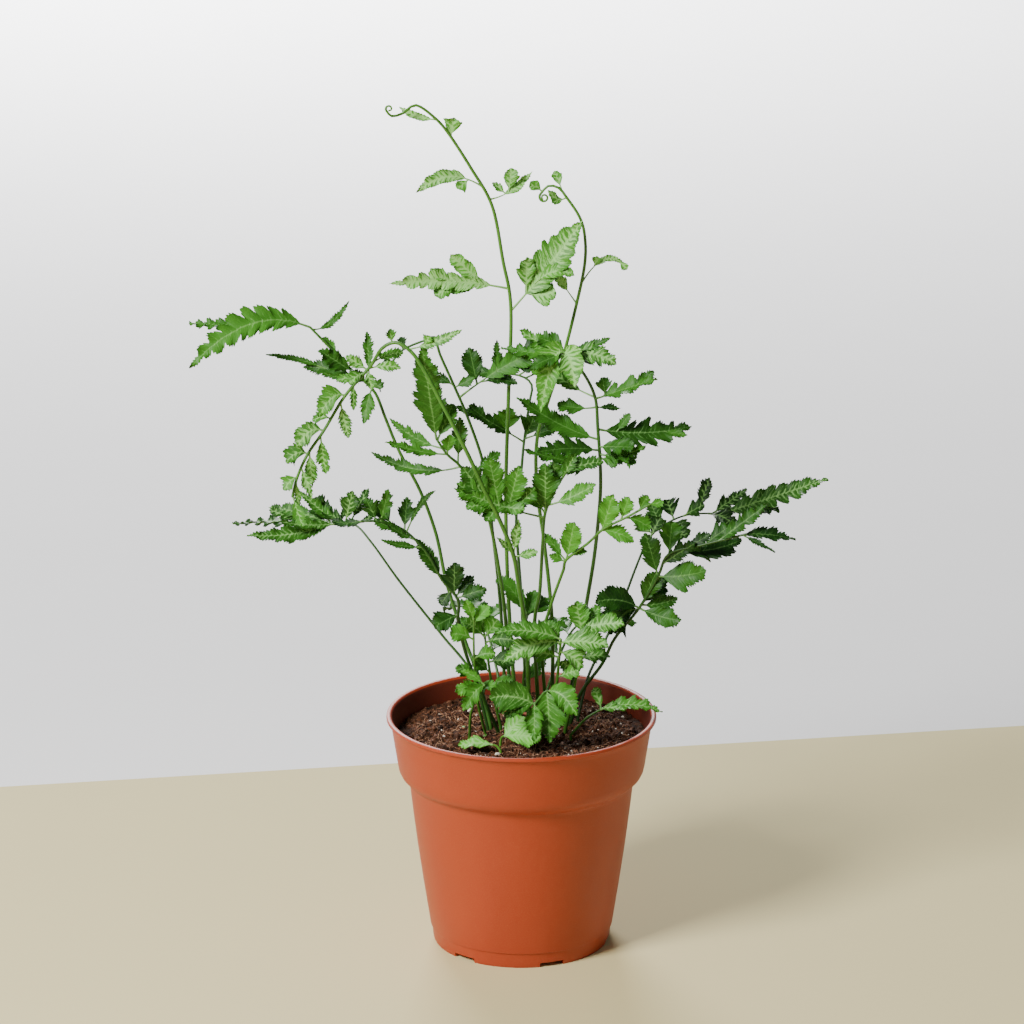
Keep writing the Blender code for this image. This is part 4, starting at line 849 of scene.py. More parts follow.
@dataclass(frozen=True)
class PeatSoil:
    """Damp peat: dark brown with redder and paler crumbs."""

    name: str = "peat_soil"
    dark: RGB = (0.012, 0.005, 0.002)
    brown: RGB = (0.13, 0.044, 0.017)
    pale: RGB = (0.44, 0.24, 0.13)

    def material(self) -> bpy.types.Material:
        """Builds the material."""
        sheet = ShaderSheet(self.name)
        lumps = sheet.noise(330.0, 4.0)
        grit = sheet.noise(1900.0, 3.0)
        cells = sheet.cells(620.0)
        base = sheet.mix((lumps * 1.9 - 0.55 + (grit - 0.5) * 0.9).clamped(), self.dark, self.brown)
        flecked = sheet.mix(grit.ramp(0.58, 0.72) * lumps.ramp(0.4, 0.6) * 0.7, base, self.pale)
        sheet.bump(lumps + grit * 0.5 + cells * 0.4, 0.0012, 0.9)
        return sheet.dress(base_color=flecked, roughness=0.9, specular_ior_level=0.22)


@dataclass(frozen=True)
class Speckle:
    """A plain mottled finish for the small things in the soil."""

    name: str
    dark: RGB
    light: RGB
    roughness: float = 0.85

    def material(self) -> bpy.types.Material:
        """Builds the material."""
        sheet = ShaderSheet(self.name)
        grain = sheet.noise(1500.0, 3.0)
        sheet.bump(grain, 0.0002, 0.7)
        colour = sheet.mix(grain.ramp(0.35, 0.65), self.dark, self.light)
        return sheet.dress(base_color=colour, roughness=self.roughness, specular_ior_level=0.25)


def add_piece(name: str, mesh: bpy.types.Mesh, materials: Iterable[bpy.types.Material],
              node: str | None = None) -> bpy.types.Object:
    """Makes a mesh a piece of the part.

    Args:
        name: the piece's name.
        mesh: its mesh.
        materials: its materials, in slot order.
        node: the CAD node that it replaces.

    Returns:
        The piece.
    """
    piece = bpy.data.objects.new(name, mesh)
    bpy.context.scene.collection.objects.link(piece)
    for material in materials:
        mesh.materials.append(material)
    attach(piece, "root")
    if node:
        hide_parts(node)
    faces = sum(len(polygon.vertices) - 2 for polygon in mesh.polygons)
    LOG.info("%s: %d triangles", name, faces)
    return piece


def applied(obj: bpy.types.Object) -> bpy.types.Mesh:
    """The object's mesh with its modifiers applied. The object is removed."""
    graph = bpy.context.evaluated_depsgraph_get()
    mesh = bpy.data.meshes.new_from_object(obj.evaluated_get(graph))
    bpy.data.objects.remove(obj)
    return mesh


def smooth(mesh: bpy.types.Mesh, degrees: float) -> None:
    """Smooth shading, with edges sharper than the angle left sharp."""
    mesh.polygons.foreach_set("use_smooth", [True] * len(mesh.polygons))
    mesh.set_sharp_from_angle(angle=math.radians(degrees))


def turned(name: str, profile: Sequence[tuple[float, float]], steps: int) -> bpy.types.Object:
    """A solid of revolution about Z.

    Args:
        name: the object's name.
        profile: (radius, height) in millimetres, from the axis round to the axis.
        steps: how many steps a turn has.

    Returns:
        An object with its Screw modifier.
    """
    mesh = bpy.data.meshes.new(name)
    mesh.from_pydata([(r * MM, 0, z * MM) for r, z in profile], [(i, i + 1) for i in range(len(profile) - 1)], [])
    obj = bpy.data.objects.new(name, mesh)
    bpy.context.scene.collection.objects.link(obj)
    screw = obj.modifiers.new("Turn", "SCREW")
    screw.steps = screw.render_steps = steps
    screw.use_merge_vertices = True
    screw.merge_threshold = 0.0001
    screw.use_normal_calculate = True
    return obj


@dataclass
class NurseryPot:
    """The pot: a thin turned wall under a deep rim band, with a notched foot and drain holes."""

    height: float = 92.0
    lip_radius: float = 52.3
    wall: float = 1.2
    foot_radius: float = 34.2
    centre_radius: float = 14.0
    floor_under: float = 2.5
    floor_top: float = 4.0
    notches: int = 6
    notch_angle: float = math.radians(-70)
    notch_width: float = 9.5
    notch_height: float = 1.9
    drain_ring: float = 23.0
    drain_radius: float = 4.0
    steps: int = 144
    band: tuple = ((51.3, 90.5), (50.9, 89.6), (50.4, 88.0), (49.8, 84.0), (49.2, 80.0), (48.5, 75.6), (48.0, 72.2),
                   (47.6, 70.4), (46.9, 68.9), (45.9, 67.8), (44.9, 67.1), (44.2, 66.5), (43.75, 65.7))
    body: tuple = ((43.5, 64.4), (42.2, 53.0), (40.6, 40.0), (38.2, 23.0), (35.75, 6.9), (35.6, 6.3), (35.2, 6.1),
                   (35.05, 5.6), (34.75, 2.0), (34.55, 0.8))

    def radius_at(self, z: float) -> float:
        """The outer radius at a height, in millimetres."""
        outside = self.band + self.body
        for (r1, z1), (r2, z2) in zip(outside, outside[1:]):
            if z2 <= z <= z1:
                return r2 + (r1 - r2) * (z - z2) / (z1 - z2)
        return outside[0][0]

    def profile(self) -> list[tuple[float, float]]:
        """The pot's section, from the middle of the floor's top, up, over the lip and down to the foot."""
        inner = [(self.radius_at(z) - self.wall, z) for z in (90.0, 86.0, 80.0, 75.0, 71.6)]
        inner += [(45.6, 69.4), (44.2, 67.6), (43.1, 66.4), (42.5, 65.0)]
        inner += [(self.radius_at(z) - self.wall, z) for z in (53.0, 40.0, 23.0, 8.0)]
        inner += [(self.radius_at(5.0) - self.wall - 0.6, 5.0), (self.radius_at(5.0) - self.wall - 1.6, self.floor_top)]
        lip = [(50.1, 91.2), (50.5, 91.8), (51.0, self.height), (51.9, self.height), (52.2, 91.8),
               (self.lip_radius, 91.4), (self.lip_radius, 90.9), (52.0, 90.6)]
        foot = [(self.foot_radius, 0.0), (self.foot_radius - 1.6, 0.0), (self.foot_radius - 2.0, self.floor_under),
                (self.centre_radius + 0.6, self.floor_under), (self.centre_radius, 0.0), (0.0, 0.0)]
        return [(0.0, self.floor_top)] + inner[::-1] + lip + list(self.band) + list(self.body) + foot

    def cutters(self) -> bpy.types.Collection:
        """The bodies that cut the foot's notches and the drain holes."""
        collection = bpy.data.collections.new("pot_cutters")
        bpy.context.scene.collection.children.link(collection)
        for i in range(self.notches):
            angle = 2 * math.pi * i / self.notches + self.notch_angle
            outwards = Vector((math.cos(angle), math.sin(angle), 0))
            notch = bmesh.new()
            placed = Matrix.Translation(outwards * self.foot_radius * MM) @ Matrix.Rotation(angle, 4, "Z")
            size = Matrix.Diagonal((9 * MM, self.notch_width * MM, 2 * self.notch_height * MM, 1))
            bmesh.ops.create_cube(notch, size=1, matrix=placed @ size)
            drain = bmesh.new()
            centre = outwards * self.drain_ring + Vector((0, 0, self.floor_top))
            bmesh.ops.create_cone(
                drain, cap_ends=True, segments=32, radius1=self.drain_radius * MM, radius2=self.drain_radius * MM,
                depth=5 * MM, matrix=Matrix.Translation(centre * MM))
            for work in (notch, drain):
                mesh = bpy.data.meshes.new("cutter")
                work.to_mesh(mesh)
                work.free()
                collection.objects.link(bpy.data.objects.new("cutter", mesh))
        return collection

    def build(self) -> bpy.types.Object:
        """Makes the pot's piece."""
        pot = turned("pot_shape", self.profile(), self.steps)
        cutters = self.cutters()
        cut = pot.modifiers.new("Drainage", "BOOLEAN")
        cut.operation = "DIFFERENCE"
        cut.operand_type = "COLLECTION"
        cut.collection = cutters
        mesh = applied(pot)
        for obj in list(cutters.objects):
            bpy.data.objects.remove(obj)
        bpy.data.collections.remove(cutters)
        smooth(mesh, 38)
        # Faces that face the pot's axis, below the lip, take the second slot: a darker terracotta that is painted
        # shade, standing in for the shade that the rim and fronds cast inside the pot.
        for polygon in mesh.polygons:
            inwards = -polygon.normal.dot(Vector((polygon.center.x, polygon.center.y, 0)).normalized())
            polygon.material_index = int(inwards > 0.3 and polygon.center.z < (self.height - 1.2) * MM)
        # The inner wall's finish is the terracotta made darker, as painted shade.
        inside = TerracottaPlastic("terracotta_painted_shade_inside", (0.2, 0.026, 0.009), (0.11, 0.015, 0.006), (0.3, 0.1, 0.05))
        finishes = [TerracottaPlastic().material(), inside.material()]
        return add_piece("nursery_pot", mesh, finishes, "pot")


@dataclass
class SoilBed:
    """The soil in the pot, with the crumbs, fibres, bark and perlite that lie on it."""

    pot: NurseryPot
    level: float = 83.4
    mound: float = 2.2
    crumb: float = 0.5
    clearance: float = 0.4
    rings: int = 84
    steps: int = 240
    seed: int = 11
    crumbs: int = 1300
    fibres: int = 950
    chips: int = 420
    grains: int = 190
    big_grains: tuple = ((-20, 20, 1.7), (-15, 31, 1.5), (-9, -29.5, 1.1), (-24, 12, 1.0), (4, -36, 0.9))
    twig: tuple = ((-9, 13, 88.4), (-5, 11, 89.0), (-1, 8.6, 89.2), (2, 7, 89.3), (6, 4.5, 88.4))
    scraps: tuple = ((-22, 2, 1.3), (-14, -9, 1.0), (-5, -32, 1.2), (-13, 12, 1.5), (-7, -24, 0.8))

    def height_at(self, x: float, y: float) -> float:
        """The soil's height at a point, as in the solid, in millimetres."""
        reach = min(1.0, (x * x + y * y) / self.pot.radius_at(self.level) ** 2)
        crumbs = (math.sin(0.31 * x + 1.3) * math.cos(0.27 * y) + 0.6 * math.sin(0.53 * y - 0.41 * x)
                  + 0.4 * math.cos(0.83 * x + 0.6 * y))
        return self.level + self.mound * (1 - reach) + self.crumb * crumbs * (1 - reach**4)

    def rough_at(self, x: float, y: float) -> float:
        """The height with its lumps and pits, in millimetres."""
        spot = Vector((x, y, 0))
        lumps = noise.fractal(spot * 0.3, 0.9, 2.0, 5) * 1.1
        pits = abs(noise.noise(spot * 0.7 + Vector((9, 3, 1)))) * 1.6
        return self.height_at(x, y) + lumps - pits + 0.4

    def bed_mesh(self) -> bpy.types.Mesh:
        """The soil's closed body with a rough top."""
        inset = self.pot.wall + self.clearance
        edge = self.pot.radius_at(self.level) - inset
        top = [(edge * i / self.rings, self.level) for i in range(self.rings + 1)]
        wall = [(self.pot.radius_at(80) - inset, 80.0), (self.pot.radius_at(71.6) - inset, 71.6), (42.1, 65.0),
                (self.pot.radius_at(40) - inset, 40.0), (self.pot.radius_at(6.9) - inset - 1.2, 4.7), (0.0, 4.7)]
        mesh = applied(turned("soil_shape", top + wall, self.steps))
        for vertex in mesh.vertices:
            if vertex.co.z > (self.level - 0.5) * MM:
                vertex.co.z = self.rough_at(vertex.co.x / MM, vertex.co.y / MM) * MM
        smooth(mesh, 50)
        return mesh

    def lump(self, work: bmesh.types.BMesh, at: Vector, size: Vector, rng: random.Random, slot: int,
             detail: int = 1) -> None:
        """Adds an irregular lump.

        Args:
            work: the mesh that it joins.
            at: its middle, in millimetres.
            size: its half-sizes, in millimetres.
            rng: the source of its shape.
            slot: its material's number.
            detail: the ball's subdivisions.
        """
        turn = Matrix.Rotation(rng.uniform(0, 6.28), 4, "Z") @ Matrix.Rotation(rng.uniform(-0.5, 0.5), 4, "X")
        placed = Matrix.Translation(at * MM) @ turn @ Matrix.Diagonal((*(size * MM), 1))
        made = bmesh.ops.create_icosphere(work, subdivisions=detail, radius=1, matrix=placed)
        offset = Vector((rng.uniform(0, 99), 0, 0))
        middle = at * MM
        for vertex in made["verts"]:
            out = vertex.co - middle
            vertex.co = middle + out * (1 + 0.38 * noise.noise(out / (size.length * MM) * 3 + offset))
        for face in {face for vertex in made["verts"] for face in vertex.link_faces}:
            face.material_index = slot
            face.smooth = False

    def fibre(self, work: bmesh.types.BMesh, points: Sequence[Vector], radius: float, slot: int) -> None:
        """Adds a thin closed fibre along points, in millimetres."""
        rings = []
        for i, point in enumerate(points):
            along = (points[min(i + 1, len(points) - 1)] - points[max(i - 1, 0)]).normalized()
            side = along.cross(Vector((0, 0, 1))).normalized()
            over = side.cross(along)
            thin = radius * (1 - 0.6 * abs(2 * i / (len(points) - 1) - 1) ** 3)
            rings.append([work.verts.new((point + (side * c + over * s) * thin) * MM)
                          for c, s in ((1, 0), (0, 1), (-1, 0), (0, -1))])
        faces = [work.faces.new(rings[0][::-1]), work.faces.new(rings[-1])]
        for a, b in zip(rings, rings[1:]):
            faces += [work.faces.new((a[k], a[(k + 1) % 4], b[(k + 1) % 4], b[k])) for k in range(4)]
        for face in faces:
            face.material_index = slot
            face.smooth = True

    def spot(self, rng: random.Random, margin: float) -> Vector:
        """A random place on the soil, margin inside the pot's wall."""
        reach = (self.pot.radius_at(self.level) - self.pot.wall - margin) * math.sqrt(rng.random())
        angle = rng.uniform(0, 2 * math.pi)
        x, y = reach * math.cos(angle), reach * math.sin(angle)
        return Vector((x, y, self.rough_at(x, y)))

    def litter_mesh(self) -> bpy.types.Mesh:
        """Everything that lies loose on the soil, as one mesh."""
        rng = random.Random(self.seed)
        work = bmesh.new()
        for _ in range(self.crumbs):
            size = rng.uniform(0.4, 1.1) + 1.1 * rng.random() ** 6
            self.lump(work, self.spot(rng, 3.5), Vector((size, size * rng.uniform(0.6, 1), size * 0.75)), rng, 0)
        for _ in range(self.chips):
            size = rng.uniform(0.5, 1.5)
            self.lump(work, self.spot(rng, 4.0), Vector((size * 1.5, size * 0.6, 0.3)), rng, 1)
        for x, y, size in self.big_grains:
            at = Vector((x, y, self.rough_at(x, y) + size * 0.35))
            self.lump(work, at, Vector((size, size * 0.65, size * 0.5)), rng, 2, 2)
        for _ in range(self.grains):
            size = rng.uniform(0.3, 0.75)
            self.lump(work, self.spot(rng, 4.0), Vector((size, size * 0.6, size * 0.7)), rng, 2)
        for _ in range(self.fibres):
            start = self.spot(rng, 7.0)
            heading = rng.uniform(0, 2 * math.pi)
            bend = rng.uniform(-0.45, 0.45)
            step = rng.uniform(0.5, 1.15)
            points = [start]
            for k in range(5):
                heading += bend
                x = points[-1].x + step * math.cos(heading)
                y = points[-1].y + step * math.sin(heading)
                points.append(Vector((x, y, self.rough_at(x, y) + 0.3 + 0.35 * math.sin(k))))
            self.fibre(work, points, rng.uniform(0.1, 0.22), rng.choice((1, 3, 3)))
        self.fibre(work, [Vector(point) for point in self.twig], 0.7, 4)
        for x, y, size in self.scraps:
            at = Vector((x, y, self.rough_at(x, y) + 0.5))
            self.lump(work, at, Vector((size * 1.2, size * 0.7, 0.25)), rng, 5, 2)
        mesh = bpy.data.meshes.new("soil_litter")
        work.to_mesh(mesh)
        work.free()
        return mesh

    def build(self) -> None:
        """Makes the soil's pieces."""
        peat = PeatSoil().material()
        add_piece("soil_bed", self.bed_mesh(), [peat], "soil")
        finishes = [
            peat,
            Speckle("bark_chip", (0.06, 0.022, 0.01), (0.25, 0.1, 0.05)).material(),
            Speckle("perlite", (0.5, 0.42, 0.33), (0.85, 0.8, 0.7)).material(),
            Speckle("peat_fibre", (0.12, 0.052, 0.026), (0.44, 0.25, 0.15)).material(),
            Speckle("dry_twig", (0.24, 0.05, 0.025), (0.5, 0.16, 0.09), 0.6).material(),
            Speckle("leaf_scrap", (0.03, 0.16, 0.012), (0.2, 0.5, 0.08), 0.6).material(),
        ]
        add_piece("soil_litter", self.litter_mesh(), finishes)


class LeafyMesh:
    """Gathers a frond's surface, with the maps that its materials read."""

    STEM, UPPER, UNDER = range(3)

    def __init__(self) -> None:
        """Starts empty."""
        self.points: list[Vector] = []
        self.maps: list[tuple[float, float, float]] = []
        self.tones: list[tuple[float, float, float]] = []
        self.faces: list[tuple[int, ...]] = []
        self.slots: list[int] = []

    def add_point(self, point: Vector, leaf_map: tuple, tone: tuple) -> int:
        """Adds a point in millimetres and returns its number."""
        self.points.append(point)
        self.maps.append(leaf_map)
        self.tones.append(tone)
        return len(self.points) - 1

    def add_face(self, corners: tuple[int, ...], slot: int) -> None:
        """Adds a face with its material's number."""
        self.faces.append(corners)
        self.slots.append(slot)

    def add_tube(self, path: Sequence[tuple[Vector, float]], sides: int, tone: tuple) -> None:
        """Adds a closed round tube.

        Args:
            path: (point, radius) along its middle, in millimetres.
            sides: how many sides it has.
            tone: lightness, silver, and 1 for a midrib, for its material.
        """
        side = Vector((1, 0, 0))
        rings = []
        for i, (point, radius) in enumerate(path):
            along = (path[min(i + 1, len(path) - 1)][0] - path[max(i - 1, 0)][0]).normalized()
            side = (side - along * side.dot(along))
            side = side.normalized() if side.length > 0.05 else along.orthogonal().normalized()
            over = along.cross(side)
            ring = []
            for k in range(sides):
                angle = 2 * math.pi * k / sides
                place = point + (side * math.cos(angle) + over * math.sin(angle)) * radius
                ring.append(self.add_point(place, (0.0, i / (len(path) - 1), 0.0), tone))
            rings.append(ring)
        self.add_face(tuple(rings[0][::-1]), self.STEM)
        self.add_face(tuple(rings[-1]), self.STEM)
        for a, b in zip(rings, rings[1:]):
            for k in range(sides):
                self.add_face((a[k], a[(k + 1) % sides], b[(k + 1) % sides], b[k]), self.STEM)

    def add_sheet(self, upper: Sequence[Sequence[int]], under: Sequence[Sequence[int]]) -> None:
        """Joins two equal grids of points, upper and under, into one closed sheet."""
        last_row, last = len(upper) - 1, len(upper[0]) - 1
        for i in range(last_row):
            for j in range(last):
                self.add_face((upper[i][j], upper[i][j + 1], upper[i + 1][j + 1], upper[i + 1][j]), self.UPPER)
                self.add_face((under[i][j], under[i + 1][j], under[i + 1][j + 1], under[i][j + 1]), self.UNDER)
            self.add_face((upper[i][0], upper[i + 1][0], under[i + 1][0], under[i][0]), self.UPPER)
            self.add_face((upper[i][last], under[i][last], under[i + 1][last], upper[i + 1][last]), self.UPPER)
        for j in range(last):
            self.add_face((upper[0][j], under[0][j], under[0][j + 1], upper[0][j + 1]), self.UPPER)
            self.add_face(
                (upper[last_row][j], upper[last_row][j + 1], under[last_row][j + 1], under[last_row][j]), self.UPPER)

    def mesh(self, name: str) -> bpy.types.Mesh:
        """Makes the mesh."""
        mesh = bpy.data.meshes.new(name)
        mesh.from_pydata([point * MM for point in self.points], [], self.faces)
        mesh.polygons.foreach_set("material_index", self.slots)
        for label, values in (("leaf_map", self.maps), ("leaf_tone", self.tones)):
            attribute = mesh.attributes.new(label, "FLOAT_VECTOR", "POINT")
            attribute.data.foreach_set("vector", [number for value in values for number in value])
        smooth(mesh, 60)
        return mesh


class Rib:
    """A blade's midrib, an arc from its root to its tip."""

    def __init__(self, root: Vector, leaf: Leaf, lean: float) -> None:
        """Lays the rib out.

        Args:
            root: where it starts, in millimetres.
            leaf: the blade.
            lean: how far it leans along the line of sight, as a share of its length.
        """
        reach = Vector(leaf.tip)
        reach += SIGHT * lean * reach.length * math.cos(math.radians(leaf.face))
        self.root = root
        self.tip = root + reach
        self.bend = (self.root + self.tip) / 2 + Vector((0, 0, 2 * leaf.bow))
        self.length = (self.bend - self.root).length / 2 + (self.tip - self.bend).length / 2 + reach.length / 2
        face = math.radians(leaf.face)
        self.up = Vector((0, -math.sin(face), math.cos(face)))

    def point(self, t: float) -> Vector:
        """The rib's point at share t."""
        return self.root * (1 - t) ** 2 + self.bend * 2 * t * (1 - t) + self.tip * t**2

    def along(self, t: float) -> Vector:
        """The rib's direction at share t."""
        return ((self.bend - self.root) * (1 - t) + (self.tip - self.bend) * t).normalized()


@dataclass
class BladeMaker:
    """Makes toothed, lobed and veined blades on ribs."""

    thickness: float = 0.3
    rib_radius: float = 0.5
    sweep: float = math.radians(42)
    rise: float = 0.5
    fall: float = 0.86
    lobe_length: float = 5.8
    lobe_skew: float = 1.3
    tooth_length: float = 1.3
    tooth_depth: float = 0.85
    vein_gap: float = 2.1
    quilt: float = 0.035
    columns: tuple = (-1.0, -0.84, -0.62, -0.36, -0.12, 0.12, 0.36, 0.62, 0.84, 1.0)
    tooth_rows: tuple = ((0.0, 0.0), (0.34, 0.62), (0.66, 1.0), (0.86, 0.5))

    def base_shape(self, s: float) -> float:
        """The half-width as a share of the widest, at share s of the blade."""
        peak = self.rise / (self.rise + self.fall)
        return (s / peak) ** self.rise * ((1 - s) / (1 - peak)) ** self.fall

    def lobe_ends(self, lobes: int, rng: random.Random) -> list[tuple[float, float]]:
        """Where each lobe of one side ends, as a share of the blade, and its own reach."""
        ends = [((k + 1 + rng.uniform(-0.28, 0.28)) / lobes, rng.uniform(-0.26, 0.14)) for k in range(lobes)]
        return ends[:-1] + [(1.0, ends[-1][1])]

    def lobe_share(self, s: float, cut: float, ends: Sequence[tuple[float, float]]) -> float:
        """How far the lobes fill the base shape.

        Args:
            s: the share of the blade.
            cut: how deep the bays between the lobes are, as a share.
            ends: each lobe's end and own reach.

        Returns:
            A share around 1 at a lobe's point and 1 - cut in a bay.
        """
        start = 0.0
        for end, gain in ends:
            if s <= end:
                break
            start = end
        phase = min(1.0, (s - start) / (end - start)) ** self.lobe_skew
        if end == 1.0:
            phase = min(phase, 0.5)
        return 1 - cut + (cut + gain) * (1 - (2 * phase - 1) ** 2) ** 0.45

    def add(self, surface: LeafyMesh, rib: Rib, leaf: Leaf, tone: Tone, rng: random.Random) -> None:
        """Adds one blade.

        Args:
            surface: the frond that it joins.
            rib: its midrib.
            leaf: its shape.
            tone: its colouring.
            rng: the source of its small differences.
        """
        length = rib.length * (1 - leaf.stalk)
        teeth = max(4, round(length / self.tooth_length))
        lobes = max(2, round(length / self.lobe_length))
        cut = min(0.62, leaf.cut * 1.25, leaf.width * 0.07 + 0.05)
        ends = [self.lobe_ends(lobes, rng) for _ in range(2)]
        depth = self.tooth_depth * (0.4 if tone is Tone.SILVER else 1.0)
        bites = [[depth * rng.uniform(0.45, 1.3) for _ in range(teeth + 1)] for _ in range(2)]
        starts = [0.0] + [(k + rng.uniform(-0.26, 0.26)) / teeth for k in range(1, teeth)] + [1.0]
        light = min(1.0, max(0.0, tone.light + rng.uniform(-0.13, 0.13)))
        colour = (light, tone.silver * rng.uniform(0.7, 1.15), 0.0)
        fold = rng.uniform(0.08, 0.34)
        ruffle = rng.uniform(0.35, 1.0) * min(1.0, leaf.width / 8)
        waves = length / rng.uniform(4.5, 8.0)
        shift = rng.uniform(0, 6.28)
        twist = rng.uniform(-0.45, 0.45)
        veins = length / self.vein_gap
        rows = [(starts[k] + phase * (starts[k + 1] - starts[k]), k, height)
                for k in range(teeth) for phase, height in self.tooth_rows]
        upper, under = [], []
        for s, tooth, height in rows + [(1.0, teeth, 1.0)]:
            t = leaf.stalk + (1 - leaf.stalk) * s
            along = rib.along(t)
            flat = along.cross(rib.up).normalized()
            normal = flat.cross(along)
            across = flat * math.cos(twist * s) + normal * math.sin(twist * s)
            normal = across.cross(along)
            full = leaf.width / 2 * self.base_shape(min(0.999, max(0.001, s)))
            halves = []
            for side in range(2):
                lobed = full * self.lobe_share(s, cut, ends[side])
                halves.append(max(0.14, lobed - min(bites[side][tooth], 0.42 * lobed) * (1 - height)))
            row_up, row_under = [], []
            for c in self.columns:
                half = halves[c > 0] * abs(c)
                phase = s * veins + 0.5 * (c > 0)
                wave = ruffle * c * c * math.sin(waves * 6.28 * s + shift + (1.7 if c > 0 else 0))
                quilt = self.quilt * math.sin(math.pi * abs(c)) * math.cos(6.28 * phase)
                lift = fold * half + wave * min(1.0, 6 * s) - quilt * min(1.0, full / 3)
                side = 1 if c > 0 else -1
                swept = along * math.tan(self.sweep) * half * (1 - 0.5 * s) + across * half * side
                middle = rib.point(t) + swept + normal * lift
                leaf_map = (c, s, phase)
                row_up.append(surface.add_point(middle + normal * self.thickness / 2, leaf_map, colour))
                row_under.append(surface.add_point(middle - normal * self.thickness / 2, leaf_map, colour))
            upper.append(row_up)
            under.append(row_under)
        surface.add_sheet(upper, under)
        path = []
        for k in range(13):
            t = 0.9 * k / 12
            thin = self.rib_radius * (1 - 0.8 * (k / 12) ** 0.7) * min(1.0, 0.6 + leaf.width / 20)
            path.append((rib.point(t) - rib.up * thin * 0.55 * min(1.0, t / (leaf.stalk + 0.05)), thin))
        surface.add_tube(path, 6, (light, tone.silver, 1.0))


@dataclass
class FernFrond:
    """One frond: its stem, its coil if it has one, and its blades."""

    frond: Frond
    maker: BladeMaker
    finishes: list[bpy.types.Material]
    seed: int
    step: float = 2.2
    tip_share: float = 0.6
    sides: int = 10
    rng: random.Random = field(init=False)

    def __post_init__(self) -> None:
        """Seeds the frond's own random numbers."""
        self.rng = random.Random(self.seed)

    def stem_points(self) -> list[Vector]:
        """The stem's points, leaning more and more towards its end."""
        last = len(self.frond.stem) - 1
        return [Vector(p) + SIGHT * self.frond.lean * (i / last) ** 1.5 for i, p in enumerate(self.frond.stem)]

    def stem_point(self, place: float) -> Vector:
        """The point of the smooth stem at a place counted in stem points."""
        points = self.stem_points()
        i = min(int(place), len(points) - 2)
        t = place - i
        p1, p2 = points[i], points[i + 1]
        p0 = points[i - 1] if i > 0 else 2 * p1 - p2
        p3 = points[i + 2] if i + 2 < len(points) else 2 * p2 - p1
        return 0.5 * (2 * p1 + (p2 - p0) * t + (2 * p0 - 5 * p1 + 4 * p2 - p3) * t**2
                      + (3 * p1 - p0 - 3 * p2 + p3) * t**3)

    def coil(self, end: Vector, heading: Vector) -> list[tuple[Vector, float]]:
        """The coil at the stem's end.

        Args:
            end: where it starts.
            heading: the stem's direction there.

        Returns:
            (point, radius) along it, or nothing for a frond with no coil.
        """
        if self.frond.name not in COILS:
            return []
        radius, turns, sense = COILS[self.frond.name]
        angle = math.atan2(heading.z, heading.x)
        place, points = end.copy(), []
        pieces = round(16 * turns) + 4
        for k in range(1, pieces + 1):
            tightness = radius * (1 - 0.62 * k / pieces)
            step = 2 * math.pi * turns / pieces
            angle -= sense * step
            place = place + Vector((math.cos(angle), -0.1, math.sin(angle))) * step * tightness
            points.append((place, self.frond.radius * (self.tip_share - 0.2 * k / pieces)))
        return points

    def add_stem(self, surface: LeafyMesh) -> None:
        """Adds the stem, from its root in the soil to its end or coil."""
        points = self.stem_points()
        last = len(points) - 1
        path = [(points[0] - Vector((0, 0, ROOT_DEPTH)), self.frond.radius)]
        for i in range(last):
            pieces = max(2, round((points[i + 1] - points[i]).length / self.step))
            for k in range(pieces):
                place = i + k / pieces
                path.append((self.stem_point(place), self.frond.radius * (1 - (1 - self.tip_share) * place / last)))
        path.append((points[-1], self.frond.radius * self.tip_share))
        path += self.coil(points[-1], (points[-1] - path[-2][0]).normalized())
        surface.add_tube(path, self.sides, (self.frond.tone.light, self.frond.tone.silver, 0.0))

    def build(self) -> bpy.types.Object:
        """Makes the frond's piece."""
        surface = LeafyMesh()
        self.add_stem(surface)
        for i, leaf in enumerate(self.frond.leaves):
            lean = BLADE_LEANS[i % len(BLADE_LEANS)] * self.frond.spread
            rib = Rib(self.stem_point(leaf.at), leaf, lean)
            tone = leaf.tone or self.frond.tone
            self.maker.add(surface, rib, leaf, tone, self.rng)
            for leaflet in leaf.side:
                self.maker.add(surface, Rib(rib.point(leaflet.at), leaflet, 0.0), leaflet, tone, self.rng)
        mesh = surface.mesh(self.frond.name)
        return add_piece(f"{self.frond.name}_living", mesh, self.finishes, self.frond.name)


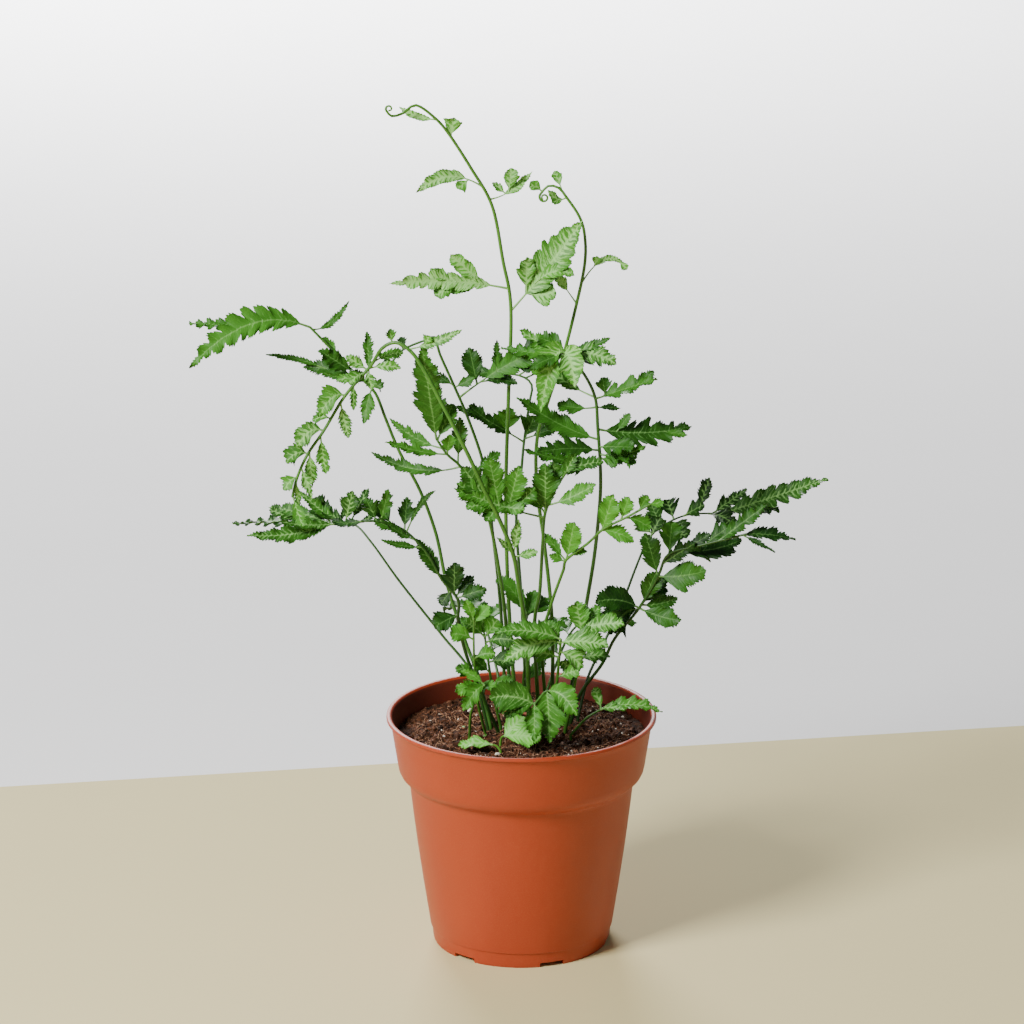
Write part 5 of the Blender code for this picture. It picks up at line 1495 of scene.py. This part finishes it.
@dataclass
class Studio:
    """The floor, the light and the camera."""

    distance: float = 1.6
    elevation: float = math.radians(20.76)
    target_z: float = 0.0465
    pitch: float = math.radians(16.4)
    lens: float = 143.6
    shift_x: float = -0.0092
    table_edge: float = 0.207
    table_turn: float = math.radians(10)

    def add_camera(self) -> None:
        """Places the camera at the photo's viewing angle."""
        data = bpy.data.cameras.new("photo_camera")
        data.lens = self.lens
        data.sensor_width = 36
        data.shift_x = self.shift_x
        camera = bpy.data.objects.new("photo_camera", data)
        forward, height = math.cos(self.elevation), math.sin(self.elevation)
        camera.location = (0, -self.distance * forward, self.target_z + self.distance * height)
        camera.rotation_euler = (math.pi / 2 - self.pitch, 0, 0)
        bpy.context.scene.collection.objects.link(camera)
        bpy.context.scene.camera = camera

    def add_ground(self, name: str, size: float, centre: Sequence, turn: float, colour: RGB) -> None:
        """Adds one plain ground plane, which isn't part of the plant."""
        mesh = bpy.data.meshes.new(name)
        work = bmesh.new()
        bmesh.ops.create_grid(work, x_segments=1, y_segments=1, size=size / 2)
        work.to_mesh(mesh)
        work.free()
        ground = bpy.data.objects.new(name, mesh)
        ground.location = centre
        ground.rotation_euler = (0, 0, turn)
        bpy.context.scene.collection.objects.link(ground)
        sheet = ShaderSheet(name)
        grain = sheet.noise(14.0, 3.0)
        darker = tuple(channel * 0.97 for channel in colour)
        mesh.materials.append(sheet.dress(base_color=sheet.mix(grain, darker, colour), roughness=0.85))

    def add_light(self, name: str, place: Sequence, size: float, power: float, colour: RGB,
                  aim: Sequence = (0, 0, 0.15)) -> None:
        """Adds a soft square light that points at the plant, or at another aim."""
        data = bpy.data.lights.new(name, "AREA")
        data.size = size
        data.energy = power
        data.color = colour
        light = bpy.data.objects.new(name, data)
        light.location = place
        light.rotation_euler = (Vector(aim) - Vector(place)).to_track_quat("-Z", "Y").to_euler()
        bpy.context.scene.collection.objects.link(light)

    def build(self) -> None:
        """Sets the whole studio up."""
        self.add_camera()
        reach = 5.0
        middle = (math.sin(self.table_turn) * reach / 2, self.table_edge - math.cos(self.table_turn) * reach / 2, 0)
        self.add_ground("pale_table", reach, middle, self.table_turn, (0.67, 0.585, 0.3))
        self.add_ground("pale_floor", 16.0, (0, 4.0, -0.002), 0.0, (0.85, 0.85, 0.86))
        self.add_light("key_light", (-0.8, -0.75, 0.95), 0.4, 34.0, (1.0, 0.98, 0.95))
        self.add_light("fill_light", (1.6, -0.9, 1.1), 1.4, 1.5, (0.95, 0.98, 1.0))
        self.add_light("wall_light", (-0.5, 2.7, 1.4), 1.2, 205.0, (1.0, 1.0, 1.0), (-0.3, 2.7, 0))
        world = bpy.data.worlds.new("soft_room")
        world.use_nodes = True
        world.node_tree.nodes["Background"].inputs["Color"].default_value = (0.86, 0.87, 0.88, 1)
        world.node_tree.nodes["Background"].inputs["Strength"].default_value = 0.17
        bpy.context.scene.world = world


def main() -> None:
    """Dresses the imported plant."""
    logging.basicConfig(level=logging.INFO, format="%(name)s %(message)s")
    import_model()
    Studio().build()
    pot = NurseryPot()
    pot.build()
    SoilBed(pot).build()
    finishes = [StemGreen().material(), BladeGreen().material(), BladeUnder().material()]
    maker = BladeMaker()
    for number, frond in enumerate(FRONDS):
        FernFrond(frond, maker, finishes, 100 + number).build()


if __name__ == "__main__":
    main()
